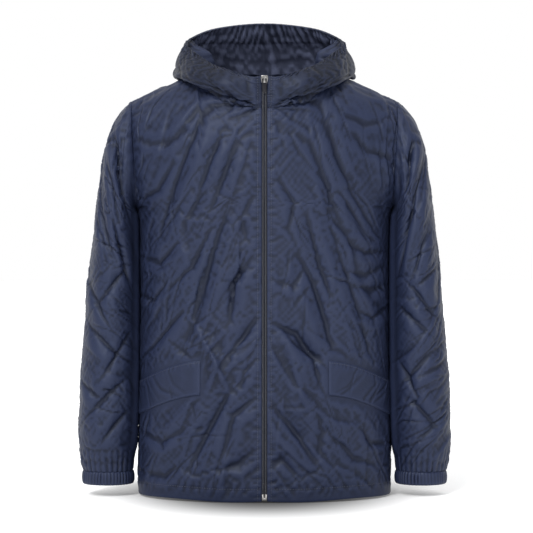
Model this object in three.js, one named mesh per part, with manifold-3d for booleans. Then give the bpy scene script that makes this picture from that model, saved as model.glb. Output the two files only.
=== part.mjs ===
// Child's hooded rain jacket, zipped to the top and filled out as if it were worn.
// Millimetres, +Z up. The front faces -Y and the wearer's left is +X.
// The origin is the centre of the neck opening, level with the shoulder line beside it.
import * as THREE from 'three';
import { mergeVertices } from 'three/addons/utils/BufferGeometryUtils.js';
import Module from 'manifold-3d';

const wasm = await Module();
wasm.setup();

// Cloth and seams
const clothWall = 1.4;
const hemWall = 2.6; // turned hem: cloth over cloth, folded to the inside
const seamGap = 0.3;
const halfGap = seamGap / 2;

// Heights
const hemZ = -510;
const hemBand = 15;
const hemWave = 1.2; // the hem line rises and falls a little
const hemWaveLength = 150;
const underarmZ = -170;
const neckFrontZ = -57;
const napeZ = -8;

// Body, as sections from the hem to the underarm
const bodySections = [
  { z: -510, halfWidth: 151, front: 95, back: 88 },
  { z: -440, halfWidth: 151, front: 98, back: 92 },
  { z: -350, halfWidth: 149.5, front: 101, back: 95 },
  { z: -250, halfWidth: 149, front: 101, back: 96 },
  { z: -170, halfWidth: 150, front: 100, back: 95 },
];
const bodyRoundness = 2.3; // exponent of the section's curve
const chestSpread = 25; // the section widens by this much from the underarm to the shoulder
const frontFall = 2.5; // how late the front turns in to the shoulder seam
const backFall = 4;

// Shoulder line and neck
const shoulderTipX = 158;
const shoulderTipZ = -41.5;
const shoulderSlope = 0.43;
const underarmX = 150;
const neckHalfWidth = 78;

// Zip
const zipEdgeX = 3.2; // each front ends this far from the middle
const coilX = 2.9;
const tapeX = 9;
const tapeWall = 1;
const tapeBehind = 0.9; // clearance between a front and the tape
const coilSunk = 0.2; // the coil lies this far below the cloth's surface
const tapeTopZ = -26;
const tapeFootZ = -501.3;
const boxTopZ = -501.6;
const boxFootZ = -508.8;

// Divisions of the grids
const neckColumns = 7;
const sideColumns = 8;
const backNeckColumns = 5;
const backSideColumns = 6;
const bodyRows = 20;
const armholeRows = 9;
const hoodStationSteps = 2;
const hoodRowSteps = 2;

// Largest folds of the fronts, as troughs (or ridges, with depth below 0) in the plane X Z
const frontFolds = {
  left: [
    { depth: 2.5, width: 9, path: [[64, -70], [83, -106], [98, -149], [131, -202]] },
    { depth: 3, width: 9, path: [[49, -183], [64, -241], [79, -279]] },
    { depth: 5, width: 9, path: [[40, -228], [56, -259], [70, -302], [78, -335]] },
    { depth: 5.5, width: 9, path: [[20, -309], [36, -318], [56, -347], [64, -374]] },
    { depth: 3, width: 9, path: [[93, -245], [106, -283], [122, -335]] },
    { depth: 5, width: 10, path: [[20, -409], [41, -439], [62, -468]] },
    { depth: -3, width: 10, path: [[30, -345], [40, -375], [48, -400]] },
  ],
  right: [
    { depth: 3.5, width: 9, path: [[78, -80], [89, -106], [106, -150], [122, -200]] },
    { depth: 2.5, width: 8, path: [[55, -90], [70, -140], [84, -178]] },
    { depth: 4, width: 10, path: [[40, -164], [60, -225], [74, -279], [94, -332]] },
    { depth: 3.5, width: 8, path: [[20, -235], [36, -259], [40, -298]] },
    { depth: 4, width: 8, path: [[20, -312], [40, -338]] },
    { depth: -3.5, width: 8, path: [[78, -311], [57, -348], [40, -385]] },
    { depth: 4.5, width: 10, path: [[36, -386], [62, -425], [88, -470]] },
  ],
};
const backFolds = [
  { depth: 3.5, width: 12, path: [[118, -150], [84, -205], [60, -275]] },
  { depth: 3.5, width: 12, path: [[-112, -160], [-90, -220], [-50, -290]] },
  { depth: 4, width: 12, path: [[96, -300], [62, -370], [50, -440]] },
  { depth: 4.5, width: 12, path: [[-84, -310], [-70, -380], [-30, -450]] },
  { depth: 3, width: 12, path: [[10, -210], [-6, -300], [14, -390]] },
  { depth: -3, width: 13, path: [[30, -150], [26, -240], [34, -330]] },
  { depth: -3, width: 13, path: [[-40, -170], [-28, -250], [-60, -340]] },
];

// Sleeve rings from the armhole to the cuff: top is the outer line, under the inner one.
// forward moves a ring's middle to the front, and join says how far it has left the armhole's curve.
const sleeveRings = [
  { topX: 158, topZ: -41.5, underX: 150, underZ: -170, depth: 43, forward: 0, join: 0 },
  { topX: 168.6, topZ: -49.8, underX: 151.2, underZ: -171.5, depth: 50, forward: 0, join: 0.45 },
  { topX: 181.2, topZ: -69, underX: 152.2, underZ: -174, depth: 55, forward: 0, join: 0.85 },
  { topX: 190.2, topZ: -98, underX: 152.8, underZ: -180, depth: 58, forward: 1, join: 1 },
  { topX: 195.6, topZ: -132, underX: 153, underZ: -192, depth: 59, forward: 2, join: 1 },
  { topX: 200.4, topZ: -165, underX: 153, underZ: -208, depth: 59, forward: 3, join: 1 },
  { topX: 203.6, topZ: -195, underX: 153, underZ: -226, depth: 58, forward: 4, join: 1 },
  { topX: 206.6, topZ: -223, underX: 153, underZ: -245, depth: 57, forward: 5, join: 1 },
  { topX: 209.6, topZ: -251, underX: 153, underZ: -266, depth: 56, forward: 6, join: 1 },
  { topX: 212, topZ: -280, underX: 153, underZ: -290, depth: 55, forward: 7, join: 1 },
  { topX: 214.4, topZ: -309, underX: 153, underZ: -315, depth: 54, forward: 8, join: 1 },
  { topX: 216.8, topZ: -338, underX: 153, underZ: -342, depth: 52, forward: 9, join: 1 },
  { topX: 219.2, topZ: -367, underX: 153, underZ: -369, depth: 50, forward: 10, join: 1 },
  { topX: 220.6, topZ: -395, underX: 153, underZ: -396, depth: 48, forward: 11, join: 1 },
  { topX: 221.6, topZ: -420, underX: 153, underZ: -420, depth: 45, forward: 12, join: 1 },
  { topX: 221.2, topZ: -442, underX: 153.4, underZ: -442, depth: 41, forward: 13, join: 1 },
  { topX: 219.6, topZ: -460, underX: 154.4, underZ: -460, depth: 36, forward: 13, join: 1 },
  { topX: 217.8, topZ: -472, underX: 155.4, underZ: -472, depth: 32, forward: 13, join: 1 },
  { topX: 216.4, topZ: -482, underX: 156.4, underZ: -482, depth: 29.5, forward: 13, join: 1 },
];
const sleeveGatherTopZ = -448;
const sleeveGatherDepth = 1.3;

// Largest folds of the sleeves, in turns round the sleeve (0 top, 0.25 front, 0.5 under) and height
const sleeveFolds = {
  left: [
    { depth: 4, width: 9, path: [[0.12, -120], [0.24, -165], [0.36, -215]] },
    { depth: 3, width: 9, path: [[0.16, -200], [0.28, -250]] },
    { depth: 3.5, width: 9, path: [[0.3, -262], [0.14, -300]] },
    { depth: 3, width: 9, path: [[0.14, -330], [0.34, -372]] },
    { depth: 3.5, width: 9, path: [[0.32, -395], [0.16, -432]] },
    { depth: 3.5, width: 10, path: [[0.9, -150], [0.76, -210]] },
    { depth: 3.5, width: 10, path: [[0.66, -260], [0.86, -310]] },
    { depth: 3, width: 10, path: [[0.88, -360], [0.68, -410]] },
  ],
  right: [
    { depth: 4.5, width: 9, path: [[0.18, -95], [0.3, -145], [0.38, -190]] },
    { depth: 3, width: 9, path: [[0.1, -165], [0.24, -222]] },
    { depth: 3, width: 9, path: [[0.36, -240], [0.16, -285]] },
    { depth: 3.5, width: 9, path: [[0.12, -310], [0.32, -345]] },
    { depth: 3.5, width: 9, path: [[0.34, -375], [0.14, -415]] },
    { depth: 3.5, width: 10, path: [[0.86, -130], [0.7, -190]] },
    { depth: 3.5, width: 10, path: [[0.7, -240], [0.9, -295]] },
    { depth: 3, width: 10, path: [[0.84, -345], [0.66, -395]] },
  ],
};
const sleeveGirth = 180; // a turn round the sleeve, as the folds' distances read it

// Cuff bands
const cuffTopZ = -482.3;
const cuffFootZ = -498;
const cuffWall = 2.2;
const cuffMiddleX = 186.4;
const cuffHalfWidth = 30;
const cuffHalfDepth = 29.5;
const cuffForward = 13;
const cuffGathers = 20;
const cuffGatherDepth = 0.7;

// Hood, as stations round the neck. turn is the place on the neck seam, in degrees from the front.
// Each profile rises from the seam over lap, under, fold, outer and mid to the rim.
const hoodStations = [
  {
    turn: 0, lap: [zipEdgeX, -88.4, -52], under: [zipEdgeX, -89.4, -47], fold: [zipEdgeX, -89.8, -41],
    outer: [zipEdgeX, -89.8, -34], mid: [zipEdgeX, -89.8, -27.5], rim: [zipEdgeX, -89.8, -21],
  },
  {
    turn: 13, lap: [17.6, -88.6, -51.4], under: [17.7, -89.8, -47], fold: [17.8, -90.8, -42],
    outer: [17.8, -91.2, -35], mid: [17.8, -90.6, -27.5], rim: [17.8, -88.8, -20.4],
  },
  {
    turn: 32, lap: [41.5, -83, -46], under: [42, -88, -41.5], fold: [43, -92, -35.5],
    outer: [43.5, -92, -27.5], mid: [43, -86.5, -19], rim: [42, -76, -11.5],
  },
  {
    turn: 45, lap: [57, -76, -39.5], under: [60, -80, -36.5], fold: [63.5, -83, -31],
    outer: [65, -80, -22], mid: [63, -71, -12], rim: [59, -56.5, -3.5],
  },
  {
    turn: 60, lap: [70, -64.5, -31], under: [75, -67.5, -31], fold: [82, -67, -27.5],
    outer: [86, -61, -17], mid: [83, -50, -3], rim: [74, -35, 8],
  },
  {
    turn: 75, lap: [80, -42, -16], under: [87, -43, -19], fold: [95, -42, -20],
    outer: [99, -36, -12], mid: [96, -27, 4], rim: [87, -17, 19],
  },
  {
    turn: 90, lap: [85, 0, -5.4], under: [95, 0, -10], fold: [105.5, 0, -14.4],
    outer: [109, 2, -8], mid: [105, 4, 10], rim: [95, 3, 28],
  },
  {
    turn: 120, lap: [74, 39, -7], under: [86, 45, -14], fold: [98, 51, -24],
    outer: [104, 56, -10], mid: [101, 53, 14], rim: [87, 36, 41],
  },
  {
    turn: 150, lap: [44, 70, -15], under: [54, 86, -40], fold: [64, 99, -66],
    outer: [72, 108, -45], mid: [69, 100, 12], rim: [58, 60, 54.5],
  },
  {
    turn: 180, lap: [0, 84, -24], under: [0, 97, -50], fold: [0, 109, -100],
    outer: [0, 125, -74], mid: [0, 118, 8], rim: [0, 67, 61],
  },
];
const hoodLevels = ['lap', 'under', 'fold', 'outer', 'mid', 'rim'];
const hoodInset = 0.9; // the hood's neck seam lies this far inside the neckline
const hoodLift = 0.5;
const hoodSideLift = 1.5; // more of it where the seam crosses the steep side of the neckline
const hoodCasingRows = 2;
const zipColumns = 2; // columns beside the zip that stay one cloth thick

// Pocket flaps: they fall from their inner end to the side seam
const flapTopZ = -348.7;
const flapDrop = 28;
const flapDropPower = 1.7;
const flapHeight = 40;
const flapRows = 3;
const flapWall = 1.2;
const flapClear = 0.35;
const flapQuiet = 14; // the front has no folds within this distance of a flap

// Slider, pull and retaining box, measured out from the cloth's surface at the middle front
const plateWidth = 8.4;
const plateTopZ = -20;
const plateFootZ = -28.6;
const plateIn = 0.3;
const plateOut = 1.4;
const backPlateIn = -4.8;
const backPlateOut = -3.7;
const postHalfWidth = 2.6;
const postFootZ = -25.6;
const bridgeHalfWidth = 0.8;
const bridgeTopZ = -21.2;
const bridgeFootZ = -27.4;
const bridgeOut = 4.2;
const bridgeThick = 1;
const pullAxisOut = 2.3;
const pullAxisZ = -24.3;
const pullBarRadius = 0.6;
const pullEyeHalf = 1.4;
const pullHalfWidth = 2.7;
const pullEyeLength = 4.3;
const pullLength = 16.5;
const boxHalfWidth = 2.8;
const boxSlit = [-0.8, 0.4];
const boxBridgeHeight = 3;
const boxIn = -1.4;
const boxOut = 0.7;

const navy = 0x2a3350;
const zipCloth = 0x1b1f30;
const nickel = 0x9a9a98;
const gunmetal = 0x3c3f48;

const lerp = THREE.MathUtils.lerp;
const clamp = THREE.MathUtils.clamp;
const smoothstep = THREE.MathUtils.smoothstep;

// Uniform Catmull-Rom value at place (0 to rows - 1) of a list of numbers
function splineAt(values, place) {
  const last = values.length - 1;
  const i = clamp(Math.floor(place), 0, last - 1);
  const f = place - i;
  const b = values[i];
  const c = values[i + 1];
  const a = i > 0 ? values[i - 1] : 2 * b - c;
  const d = i + 2 <= last ? values[i + 2] : 2 * c - b;
  return b + 0.5 * f * (c - a + f * (2 * a - 5 * b + 4 * c - d + f * (3 * (b - c) + d - a)));
}

// A column of the body's sections at height z
function bodySize(column, z) {
  let i = 0;
  while (i < bodySections.length - 2 && z > bodySections[i + 1].z) i += 1;
  const f = (z - bodySections[i].z) / (bodySections[i + 1].z - bodySections[i].z);
  return splineAt(bodySections.map((row) => row[column]), i + clamp(f, 0, 1));
}

const shoulderZ = (x) => shoulderTipZ - shoulderSlope * (Math.abs(x) - shoulderTipX);

// Distance of the front (facing -1) or back (facing 1) from the middle plane at x, z
function bodyDepth(facing, x, z) {
  const rise = clamp((z - underarmZ) / (shoulderTipZ - underarmZ), 0, 1);
  const atArmhole = smoothstep(Math.abs(x) / underarmX, 0.72, 1);
  const spread = chestSpread * rise ** lerp(1.8, 0.5, atArmhole);
  const halfWidth = bodySize('halfWidth', Math.min(z, underarmZ)) + spread;
  const reach = bodySize(facing < 0 ? 'front' : 'back', Math.min(z, underarmZ));
  const across = Math.max(0, 1 - (Math.abs(x) / halfWidth) ** bodyRoundness) ** (1 / bodyRoundness);
  const height = clamp((z - underarmZ) / (shoulderZ(x) - underarmZ), 0, 1);
  const turnIn = Math.sqrt(Math.max(0, 1 - height ** (facing < 0 ? frontFall : backFall)));
  return facing * Math.max(reach * across * turnIn, halfGap);
}

const armholeX = (rise) => lerp(underarmX, shoulderTipX, rise);
const armholeZ = (rise) => lerp(underarmZ, shoulderTipZ, rise);

// Height of the neckline at x: an arc of an ellipse on each side of the shoulder seam
function necklineZ(facing, x) {
  const arc = 1 - Math.sqrt(Math.max(0, 1 - (x / neckHalfWidth) ** 2));
  return lerp(facing < 0 ? neckFrontZ : napeZ, shoulderZ(neckHalfWidth), arc);
}

// Distance from a point to a path, and how far along the path the nearest place is
function nearestOnPath(path, a, b, scaleA) {
  let best = { distance: Infinity, along: 0 };
  for (let i = 0; i < path.length - 1; i += 1) {
    const da = (path[i + 1][0] - path[i][0]) * scaleA;
    const db = path[i + 1][1] - path[i][1];
    const pa = (a - path[i][0]) * scaleA;
    const pb = b - path[i][1];
    const t = clamp((pa * da + pb * db) / (da * da + db * db), 0, 1);
    const distance = Math.hypot(pa - t * da, pb - t * db);
    if (distance < best.distance) best = { distance, along: (i + t) / (path.length - 1) };
  }
  return best;
}

// Depth of all the folds at a place on a panel; each fades out towards its ends
function foldDepth(folds, a, b, scaleA) {
  return folds.reduce((sum, fold) => {
    const { distance, along } = nearestOnPath(fold.path, a, b, scaleA);
    const fade = 0.35 + 0.65 * Math.sin(Math.PI * along);
    return sum + fold.depth * fade * Math.exp(-((distance / fold.width) ** 2));
  }, 0);
}

// Unit normals of a grid of points, from its neighbours
function gridNormals(points, closed) {
  const rows = points.length;
  return points.map((row, i) => row.map((point, j) => {
    const before = points[closed ? (i + rows - 1) % rows : Math.max(i - 1, 0)][j];
    const after = points[closed ? (i + 1) % rows : Math.min(i + 1, rows - 1)][j];
    const along = after.clone().sub(before);
    const up = row[Math.min(j + 1, row.length - 1)].clone().sub(row[Math.max(j - 1, 0)]);
    return along.cross(up).normalize();
  }));
}

function movedAlong(points, normals, distance) {
  return points.map((row, i) => row.map((point, j) => (
    point.clone().addScaledVector(normals[i][j], distance(i, j))
  )));
}

const mirrored = (points) => points.map((row) => row.map((p) => new THREE.Vector3(-p.x, p.y, p.z)));

// A closed wall between an outer and an inner grid of points
function wallGeometry(outer, inner, closed, flipped) {
  const rows = outer.length;
  const columns = outer[0].length;
  const positions = [...outer.flat(), ...inner.flat()].flatMap((p) => [p.x, p.y, p.z]);
  const index = [];
  const out = (i, j) => (i % rows) * columns + j;
  const into = (i, j) => rows * columns + out(i, j);
  const quad = (a, b, c, d) => index.push(...(flipped ? [a, c, b, a, d, c] : [a, b, c, a, c, d]));
  for (let i = 0; i < (closed ? rows : rows - 1); i += 1) {
    for (let j = 0; j < columns - 1; j += 1) {
      quad(out(i, j), out(i + 1, j), out(i + 1, j + 1), out(i, j + 1));
      quad(into(i, j), into(i, j + 1), into(i + 1, j + 1), into(i + 1, j));
    }
    quad(out(i, 0), into(i, 0), into(i + 1, 0), out(i + 1, 0));
    const j = columns - 1;
    quad(out(i, j), out(i + 1, j), into(i + 1, j), into(i, j));
  }
  if (!closed) {
    for (let j = 0; j < columns - 1; j += 1) {
      quad(out(0, j), out(0, j + 1), into(0, j + 1), into(0, j));
      const i = rows - 1;
      quad(out(i, j), into(i, j), into(i, j + 1), out(i, j + 1));
    }
  }
  const geometry = new THREE.BufferGeometry();
  geometry.setAttribute('position', new THREE.Float32BufferAttribute(positions, 3));
  geometry.setIndex(index);
  return geometry;
}

function clothMesh(name, geometry, color, roughness = 0.55) {
  const mesh = new THREE.Mesh(geometry, new THREE.MeshStandardMaterial({ color, roughness, metalness: 0 }));
  mesh.name = name;
  mesh.geometry.computeVertexNormals();
  return mesh;
}

// Places across a panel, as shares of the armhole's x, with one column at the side of the neck
function panelColumns(neckSteps, sideSteps, firstX) {
  const neckShare = neckHalfWidth / shoulderTipX;
  const firstTurn = Math.asin(firstX / neckHalfWidth);
  const shares = [];
  for (let i = 0; i < neckSteps; i += 1) {
    shares.push(neckShare * Math.sin(lerp(firstTurn, Math.PI / 2, i / neckSteps)));
  }
  for (let i = 0; i <= sideSteps; i += 1) {
    shares.push(neckShare + (1 - neckShare) * Math.sin((Math.PI / 2) * (i / sideSteps)));
  }
  return shares;
}

// Heights of a panel's rows: z below the underarm, and the rise from there to the top edge above it
function panelRows() {
  const rows = [{ z: hemZ }, { z: hemZ + hemBand }];
  for (let i = 1; i <= bodyRows; i += 1) rows.push({ z: lerp(hemZ + hemBand, underarmZ, i / bodyRows) });
  for (let i = 1; i <= armholeRows; i += 1) rows.push({ rise: (1 - Math.cos((Math.PI * i) / armholeRows)) / 2 });
  return rows;
}

// A place on the smooth front or back, at a share of the width and a row
function panelPlace(facing, share, row) {
  if (row.rise === undefined) {
    const wave = hemWave * smoothstep(-row.z, -hemZ - 60, -hemZ);
    const x = share * bodySize('halfWidth', row.z);
    const z = row.z + wave * Math.sin((2 * Math.PI * x) / hemWaveLength) * facing;
    return new THREE.Vector3(x, bodyDepth(facing, x, row.z), z);
  }
  const topX = Math.abs(share) * shoulderTipX;
  const topZ = topX < neckHalfWidth - 1e-6 ? necklineZ(facing, topX) : shoulderZ(topX);
  const x = share * armholeX(row.rise);
  const z = lerp(underarmZ, topZ, row.rise);
  return new THREE.Vector3(x, bodyDepth(facing, x, z), z);
}

// Folds die out at every seam, at the zip and round the pocket flaps
function foldFade(share, z, place, isFront) {
  const edge = 1 - smoothstep(Math.abs(share), 0.86, 1);
  const hem = smoothstep(z, hemZ + hemBand, hemZ + hemBand + 35);
  const zip = isFront ? smoothstep(Math.abs(place.x), tapeX + 2, tapeX + 14) : 1;
  const top = 1 - smoothstep(z, -95, -62);
  return edge * hem * zip * top;
}

function flapFade(x, z) {
  const innerX = flapInnerShare() * bodySize('halfWidth', flapTopZ);
  const sideways = smoothstep(innerX - x, 0, flapQuiet);
  const q = clamp((x - innerX) / (bodySize('halfWidth', flapTopZ) - innerX), 0, 1);
  const above = smoothstep(z, flapLineZ(q) + 2, flapLineZ(q) + 2 + flapQuiet);
  const below = smoothstep(flapLineZ(q) - flapHeight - 2 - z, 0, flapQuiet);
  return Math.max(sideways, above, below);
}

const flapInnerShare = () => neckHalfWidth / shoulderTipX;
const flapLineZ = (q) => flapTopZ - flapDrop * q ** flapDropPower;

// The grid of a panel's outer points, from the first column to the last and from the hem up
function panelGrid(facing, shares, folds, isFront) {
  return shares.map((share) => panelRows().map((row) => {
    const place = panelPlace(facing, share, row);
    let depth = foldDepth(folds, place.x, place.z, 1) * foldFade(share, place.z, place, isFront);
    if (isFront) depth *= flapFade(place.x, place.z);
    place.y -= facing * depth;
    return place;
  }));
}



// Inner points of an edge stay in the seam's plane, so that neighbours keep their gap
function squareSeams(outer, inner, seamColumns, thicknessAt) {
  const firstRise = panelRows().findIndex((row) => row.rise !== undefined);
  const lastRow = outer[0].length - 1;
  seamColumns.forEach((i) => {
    outer[i].forEach((point, j) => {
      const thickness = thicknessAt(i, j);
      const target = inner[i][j];
      if (j < firstRise) {
        target.set(point.x - Math.sign(point.x) * thickness, point.y, point.z);
      } else {
        const direction = target.clone().sub(point).setX(0).normalize();
        target.copy(point).addScaledVector(direction, thickness);
      }
    });
  });
  outer.forEach((column, i) => {
    const point = column[lastRow];
    if (Math.abs(point.y) > halfGap + 1e-6) return;
    inner[i][lastRow].set(point.x, point.y, point.z - clothWall);
  });
}

const frontShares = () => panelColumns(neckColumns, sideColumns, zipEdgeX);

function frontPanel(name, side) {
  const outer = panelGrid(-1, frontShares(), frontFolds[name.replace('front_', '')], true);
  outer[0].forEach((point) => { point.x = zipEdgeX; });
  const thickness = (i, j) => (j < 2 && i >= zipColumns ? hemWall : clothWall);
  const inner = movedAlong(outer, gridNormals(outer, false), (i, j) => -thickness(i, j));
  inner[0].forEach((point) => { point.x = zipEdgeX; });
  squareSeams(outer, inner, [outer.length - 1], thickness);
  const flip = side < 0;
  const geometry = flip ? wallGeometry(mirrored(outer), mirrored(inner), false, true)
    : wallGeometry(outer, inner, false, false);
  return clothMesh(name, geometry, navy);
}

function backPanel() {
  const half = panelColumns(backNeckColumns, backSideColumns, 0);
  const shares = [...half.slice().reverse(), ...half.slice(1).map((share) => -share)];
  const outer = panelGrid(1, shares, backFolds, false);
  const thickness = (i, j) => (j < 2 ? hemWall : clothWall);
  const inner = movedAlong(outer, gridNormals(outer, false), (i, j) => -thickness(i, j));
  squareSeams(outer, inner, [0, outer.length - 1], thickness);
  return clothMesh('back', wallGeometry(outer, inner, false, false), navy);
}

// The armhole's curve at a turn: 0 at the shoulder, half a turn at the underarm
function armholePoint(turn) {
  const rise = (1 + Math.cos(turn)) / 2;
  const facing = Math.sin(turn) > 0 ? -1 : 1;
  const x = armholeX(rise);
  const z = armholeZ(rise);
  const y = Math.abs(Math.sin(turn)) < 1e-6 ? 0 : bodyDepth(facing, x, z);
  return new THREE.Vector3(x, y, z);
}

function sleevePoint(ring, turn) {
  const across = (1 - Math.cos(turn)) / 2;
  const ellipse = new THREE.Vector3(
    lerp(ring.topX, ring.underX, across),
    -ring.forward - ring.depth * Math.sin(turn),
    lerp(ring.topZ, ring.underZ, across),
  );
  const point = armholePoint(turn).lerp(ellipse, ring.join);
  point.x += seamGap;
  return point;
}

function sleeve(name, side) {
  const steps = 2 * armholeRows;
  const folds = sleeveFolds[name.replace('sleeve_', '')];
  const grid = [];
  for (let i = 0; i < steps; i += 1) {
    const turn = (2 * Math.PI * i) / steps;
    grid.push(sleeveRings.map((ring) => sleevePoint(ring, turn)));
  }
  const normals = gridNormals(grid, true);
  const lastRing = sleeveRings.length - 1;
  const outer = movedAlong(grid, normals, (i, j) => {
    const point = grid[i][j];
    const free = j === 0 || j === lastRing ? 0 : 1;
    const nearBody = smoothstep(point.x, 160, 170);
    const fade = free * nearBody * smoothstep(-point.z, 75, 110) * smoothstep(point.z, -462, -440);
    const gather = smoothstep(-point.z, -sleeveGatherTopZ, -cuffTopZ) * sleeveGatherDepth;
    const wave = free * gather * (i % 2 ? 1 : -1);
    return wave - fade * foldDepth(folds, i / steps, point.z, sleeveGirth);
  });
  const inner = movedAlong(outer, normals, () => -clothWall);
  outer.forEach((column, i) => {
    const start = column[0];
    const direction = inner[i][0].clone().sub(start).setX(0).normalize();
    inner[i][0].copy(start).addScaledVector(direction, clothWall);
    inner[i][lastRing].z = column[lastRing].z;
  });
  const geometry = side < 0 ? wallGeometry(mirrored(outer), mirrored(inner), true, true)
    : wallGeometry(outer, inner, true, false);
  return clothMesh(name, geometry, navy);
}

function cuff(name, side) {
  const steps = cuffGathers * 3;
  const levels = [cuffTopZ, (cuffTopZ + cuffFootZ) / 2, cuffFootZ];
  const ring = (inset, z, turn) => new THREE.Vector3(
    side * (cuffMiddleX + (cuffHalfWidth - inset) * Math.cos(turn)),
    -cuffForward - (cuffHalfDepth - inset) * Math.sin(turn),
    z,
  );
  const outer = [];
  const inner = [];
  for (let i = 0; i < steps; i += 1) {
    const turn = (2 * Math.PI * i) / steps;
    const gather = cuffGatherDepth * Math.cos(cuffGathers * turn);
    outer.push(levels.map((z) => ring(cuffGatherDepth - gather, z, turn)));
    inner.push(levels.map((z) => ring(cuffGatherDepth - gather + cuffWall, z, turn)));
  }
  return clothMesh(name, wallGeometry(outer, inner, true, side < 0), navy);
}

// The neck seam of the hood, just inside the neckline of the fronts and back
function hoodSeamPoint(turn) {
  const facing = turn < Math.PI / 2 ? -1 : 1;
  const x = (neckHalfWidth - hoodInset) * Math.sin(turn);
  const z = necklineZ(facing, neckHalfWidth * Math.sin(turn));
  const lift = hoodLift + hoodSideLift * Math.sin(turn) ** 6;
  return new THREE.Vector3(x, bodyDepth(facing, x, z), z + lift);
}

function hoodGrid() {
  const last = hoodStations.length - 1;
  const nextHalf = hoodStations[last - 1];
  const columns = [];
  for (let i = 0; i <= last * hoodStationSteps; i += 1) {
    const place = i / hoodStationSteps;
    const turn = THREE.MathUtils.degToRad(splineAt(hoodStations.map((station) => station.turn), place));
    const seam = i === 0 ? hoodSeamPoint(Math.asin(zipEdgeX / neckHalfWidth)) : hoodSeamPoint(Math.min(turn, Math.PI));
    if (i === 0) seam.x = zipEdgeX;
    const controls = [seam, ...hoodLevels.map((level) => {
      const line = [...hoodStations, nextHalf].map((station, k) => (
        k > last ? [-station[level][0], station[level][1], station[level][2]] : station[level]
      ));
      return new THREE.Vector3(...[0, 1, 2].map((axis) => splineAt(line.map((p) => p[axis]), place)));
    })];
    const column = [];
    for (let j = 0; j <= (controls.length - 1) * hoodRowSteps; j += 1) {
      const at = j / hoodRowSteps;
      column.push(new THREE.Vector3(...['x', 'y', 'z'].map((axis) => splineAt(controls.map((p) => p[axis]), at))));
    }
    columns.push(column);
  }
  columns[0].forEach((point) => { point.x = zipEdgeX; });
  columns[columns.length - 1].forEach((point) => { point.x = halfGap; });
  return columns;
}

function hoodHalf(name, side) {
  const outer = hoodGrid();
  const rows = outer[0].length;
  const thickness = (i, j) => (j >= rows - hoodCasingRows && i >= zipColumns ? hemWall : clothWall);
  const inner = movedAlong(outer, gridNormals(outer, false), (i, j) => -thickness(i, j));
  inner[0].forEach((point) => { point.x = zipEdgeX; });
  inner[inner.length - 1].forEach((point) => { point.x = halfGap; });
  const geometry = side < 0 ? wallGeometry(mirrored(outer), mirrored(inner), false, true)
    : wallGeometry(outer, inner, false, false);
  return clothMesh(name, geometry, navy);
}

// A flap's points are those of the front under it, moved out
function pocketFlap(name, side) {
  const shares = frontShares().filter((share) => share > flapInnerShare() - 1e-6);
  const firstX = shares[0];
  const base = shares.map((share) => {
    const q = (share - firstX) / (1 - firstX);
    const column = [];
    for (let j = 0; j <= flapRows; j += 1) {
      const z = flapLineZ(q) - flapHeight * (1 - j / flapRows);
      column.push(panelPlace(-1, share, { z }));
    }
    return column;
  });
  const normals = gridNormals(base, false);
  base[base.length - 1].forEach((point, j) => normals[base.length - 1][j].set(1, 0, 0));
  const inner = movedAlong(base, normals, () => flapClear);
  const outer = movedAlong(base, normals, () => flapClear + flapWall);
  const geometry = side < 0 ? wallGeometry(mirrored(outer), mirrored(inner), false, true)
    : wallGeometry(outer, inner, false, false);
  return clothMesh(name, geometry, navy);
}

// The line down the middle of the front, from the hem to the hood's rim, with its normals
function middleFrontLine() {
  const below = panelRows().map((row) => panelPlace(-1, frontShares()[0], row));
  const line = [...below, ...hoodGrid()[0].slice(1)].map(({ y, z }) => ({ y, z }));
  return line.map((point, i) => {
    const before = line[Math.max(i - 1, 0)];
    const after = line[Math.min(i + 1, line.length - 1)];
    const length = Math.hypot(after.y - before.y, after.z - before.z);
    return { ...point, normalY: -(after.z - before.z) / length, normalZ: (after.y - before.y) / length };
  });
}

// The place on that line at height z
function middleFrontAt(z) {
  const line = middleFrontLine();
  const i = clamp(line.findIndex((point) => point.z > z), 1, line.length - 1);
  const f = (z - line[i - 1].z) / (line[i].z - line[i - 1].z);
  const between = (key) => lerp(line[i - 1][key], line[i][key], f);
  return { y: between('y'), z, normalY: between('normalY'), normalZ: between('normalZ') };
}

function zipTape(name, side) {
  const behind = -(clothWall + tapeBehind);
  const section = [
    [halfGap, behind - tapeWall], [tapeX, behind - tapeWall], [tapeX, behind],
    [coilX, behind], [coilX, -coilSunk], [halfGap, -coilSunk],
  ];
  const between = middleFrontLine().filter(({ z }) => z > tapeFootZ + 2 && z < tapeTopZ - 2);
  const stations = [middleFrontAt(tapeFootZ), ...between, middleFrontAt(tapeTopZ)];
  const positions = [];
  const index = [];
  stations.forEach((station) => section.forEach(([x, out]) => {
    positions.push(side * x, station.y + station.normalY * out, station.z + station.normalZ * out);
  }));
  const count = section.length;
  const face = (a, b, c) => index.push(...(side > 0 ? [a, b, c] : [a, c, b]));
  for (let i = 0; i < stations.length - 1; i += 1) {
    for (let k = 0; k < count; k += 1) {
      const a = i * count + k;
      const b = i * count + ((k + 1) % count);
      face(a, b + count, b);
      face(a, a + count, b + count);
    }
  }
  const outline = section.map(([x, out]) => new THREE.Vector2(x, out));
  const top = (stations.length - 1) * count;
  THREE.ShapeUtils.triangulateShape(outline, []).forEach(([a, b, c]) => {
    face(a, b, c);
    face(top + a, top + c, top + b);
  });
  const geometry = new THREE.BufferGeometry();
  geometry.setAttribute('position', new THREE.Float32BufferAttribute(positions, 3));
  geometry.setIndex(index);
  return clothMesh(name, geometry, zipCloth, 0.7);
}

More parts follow.
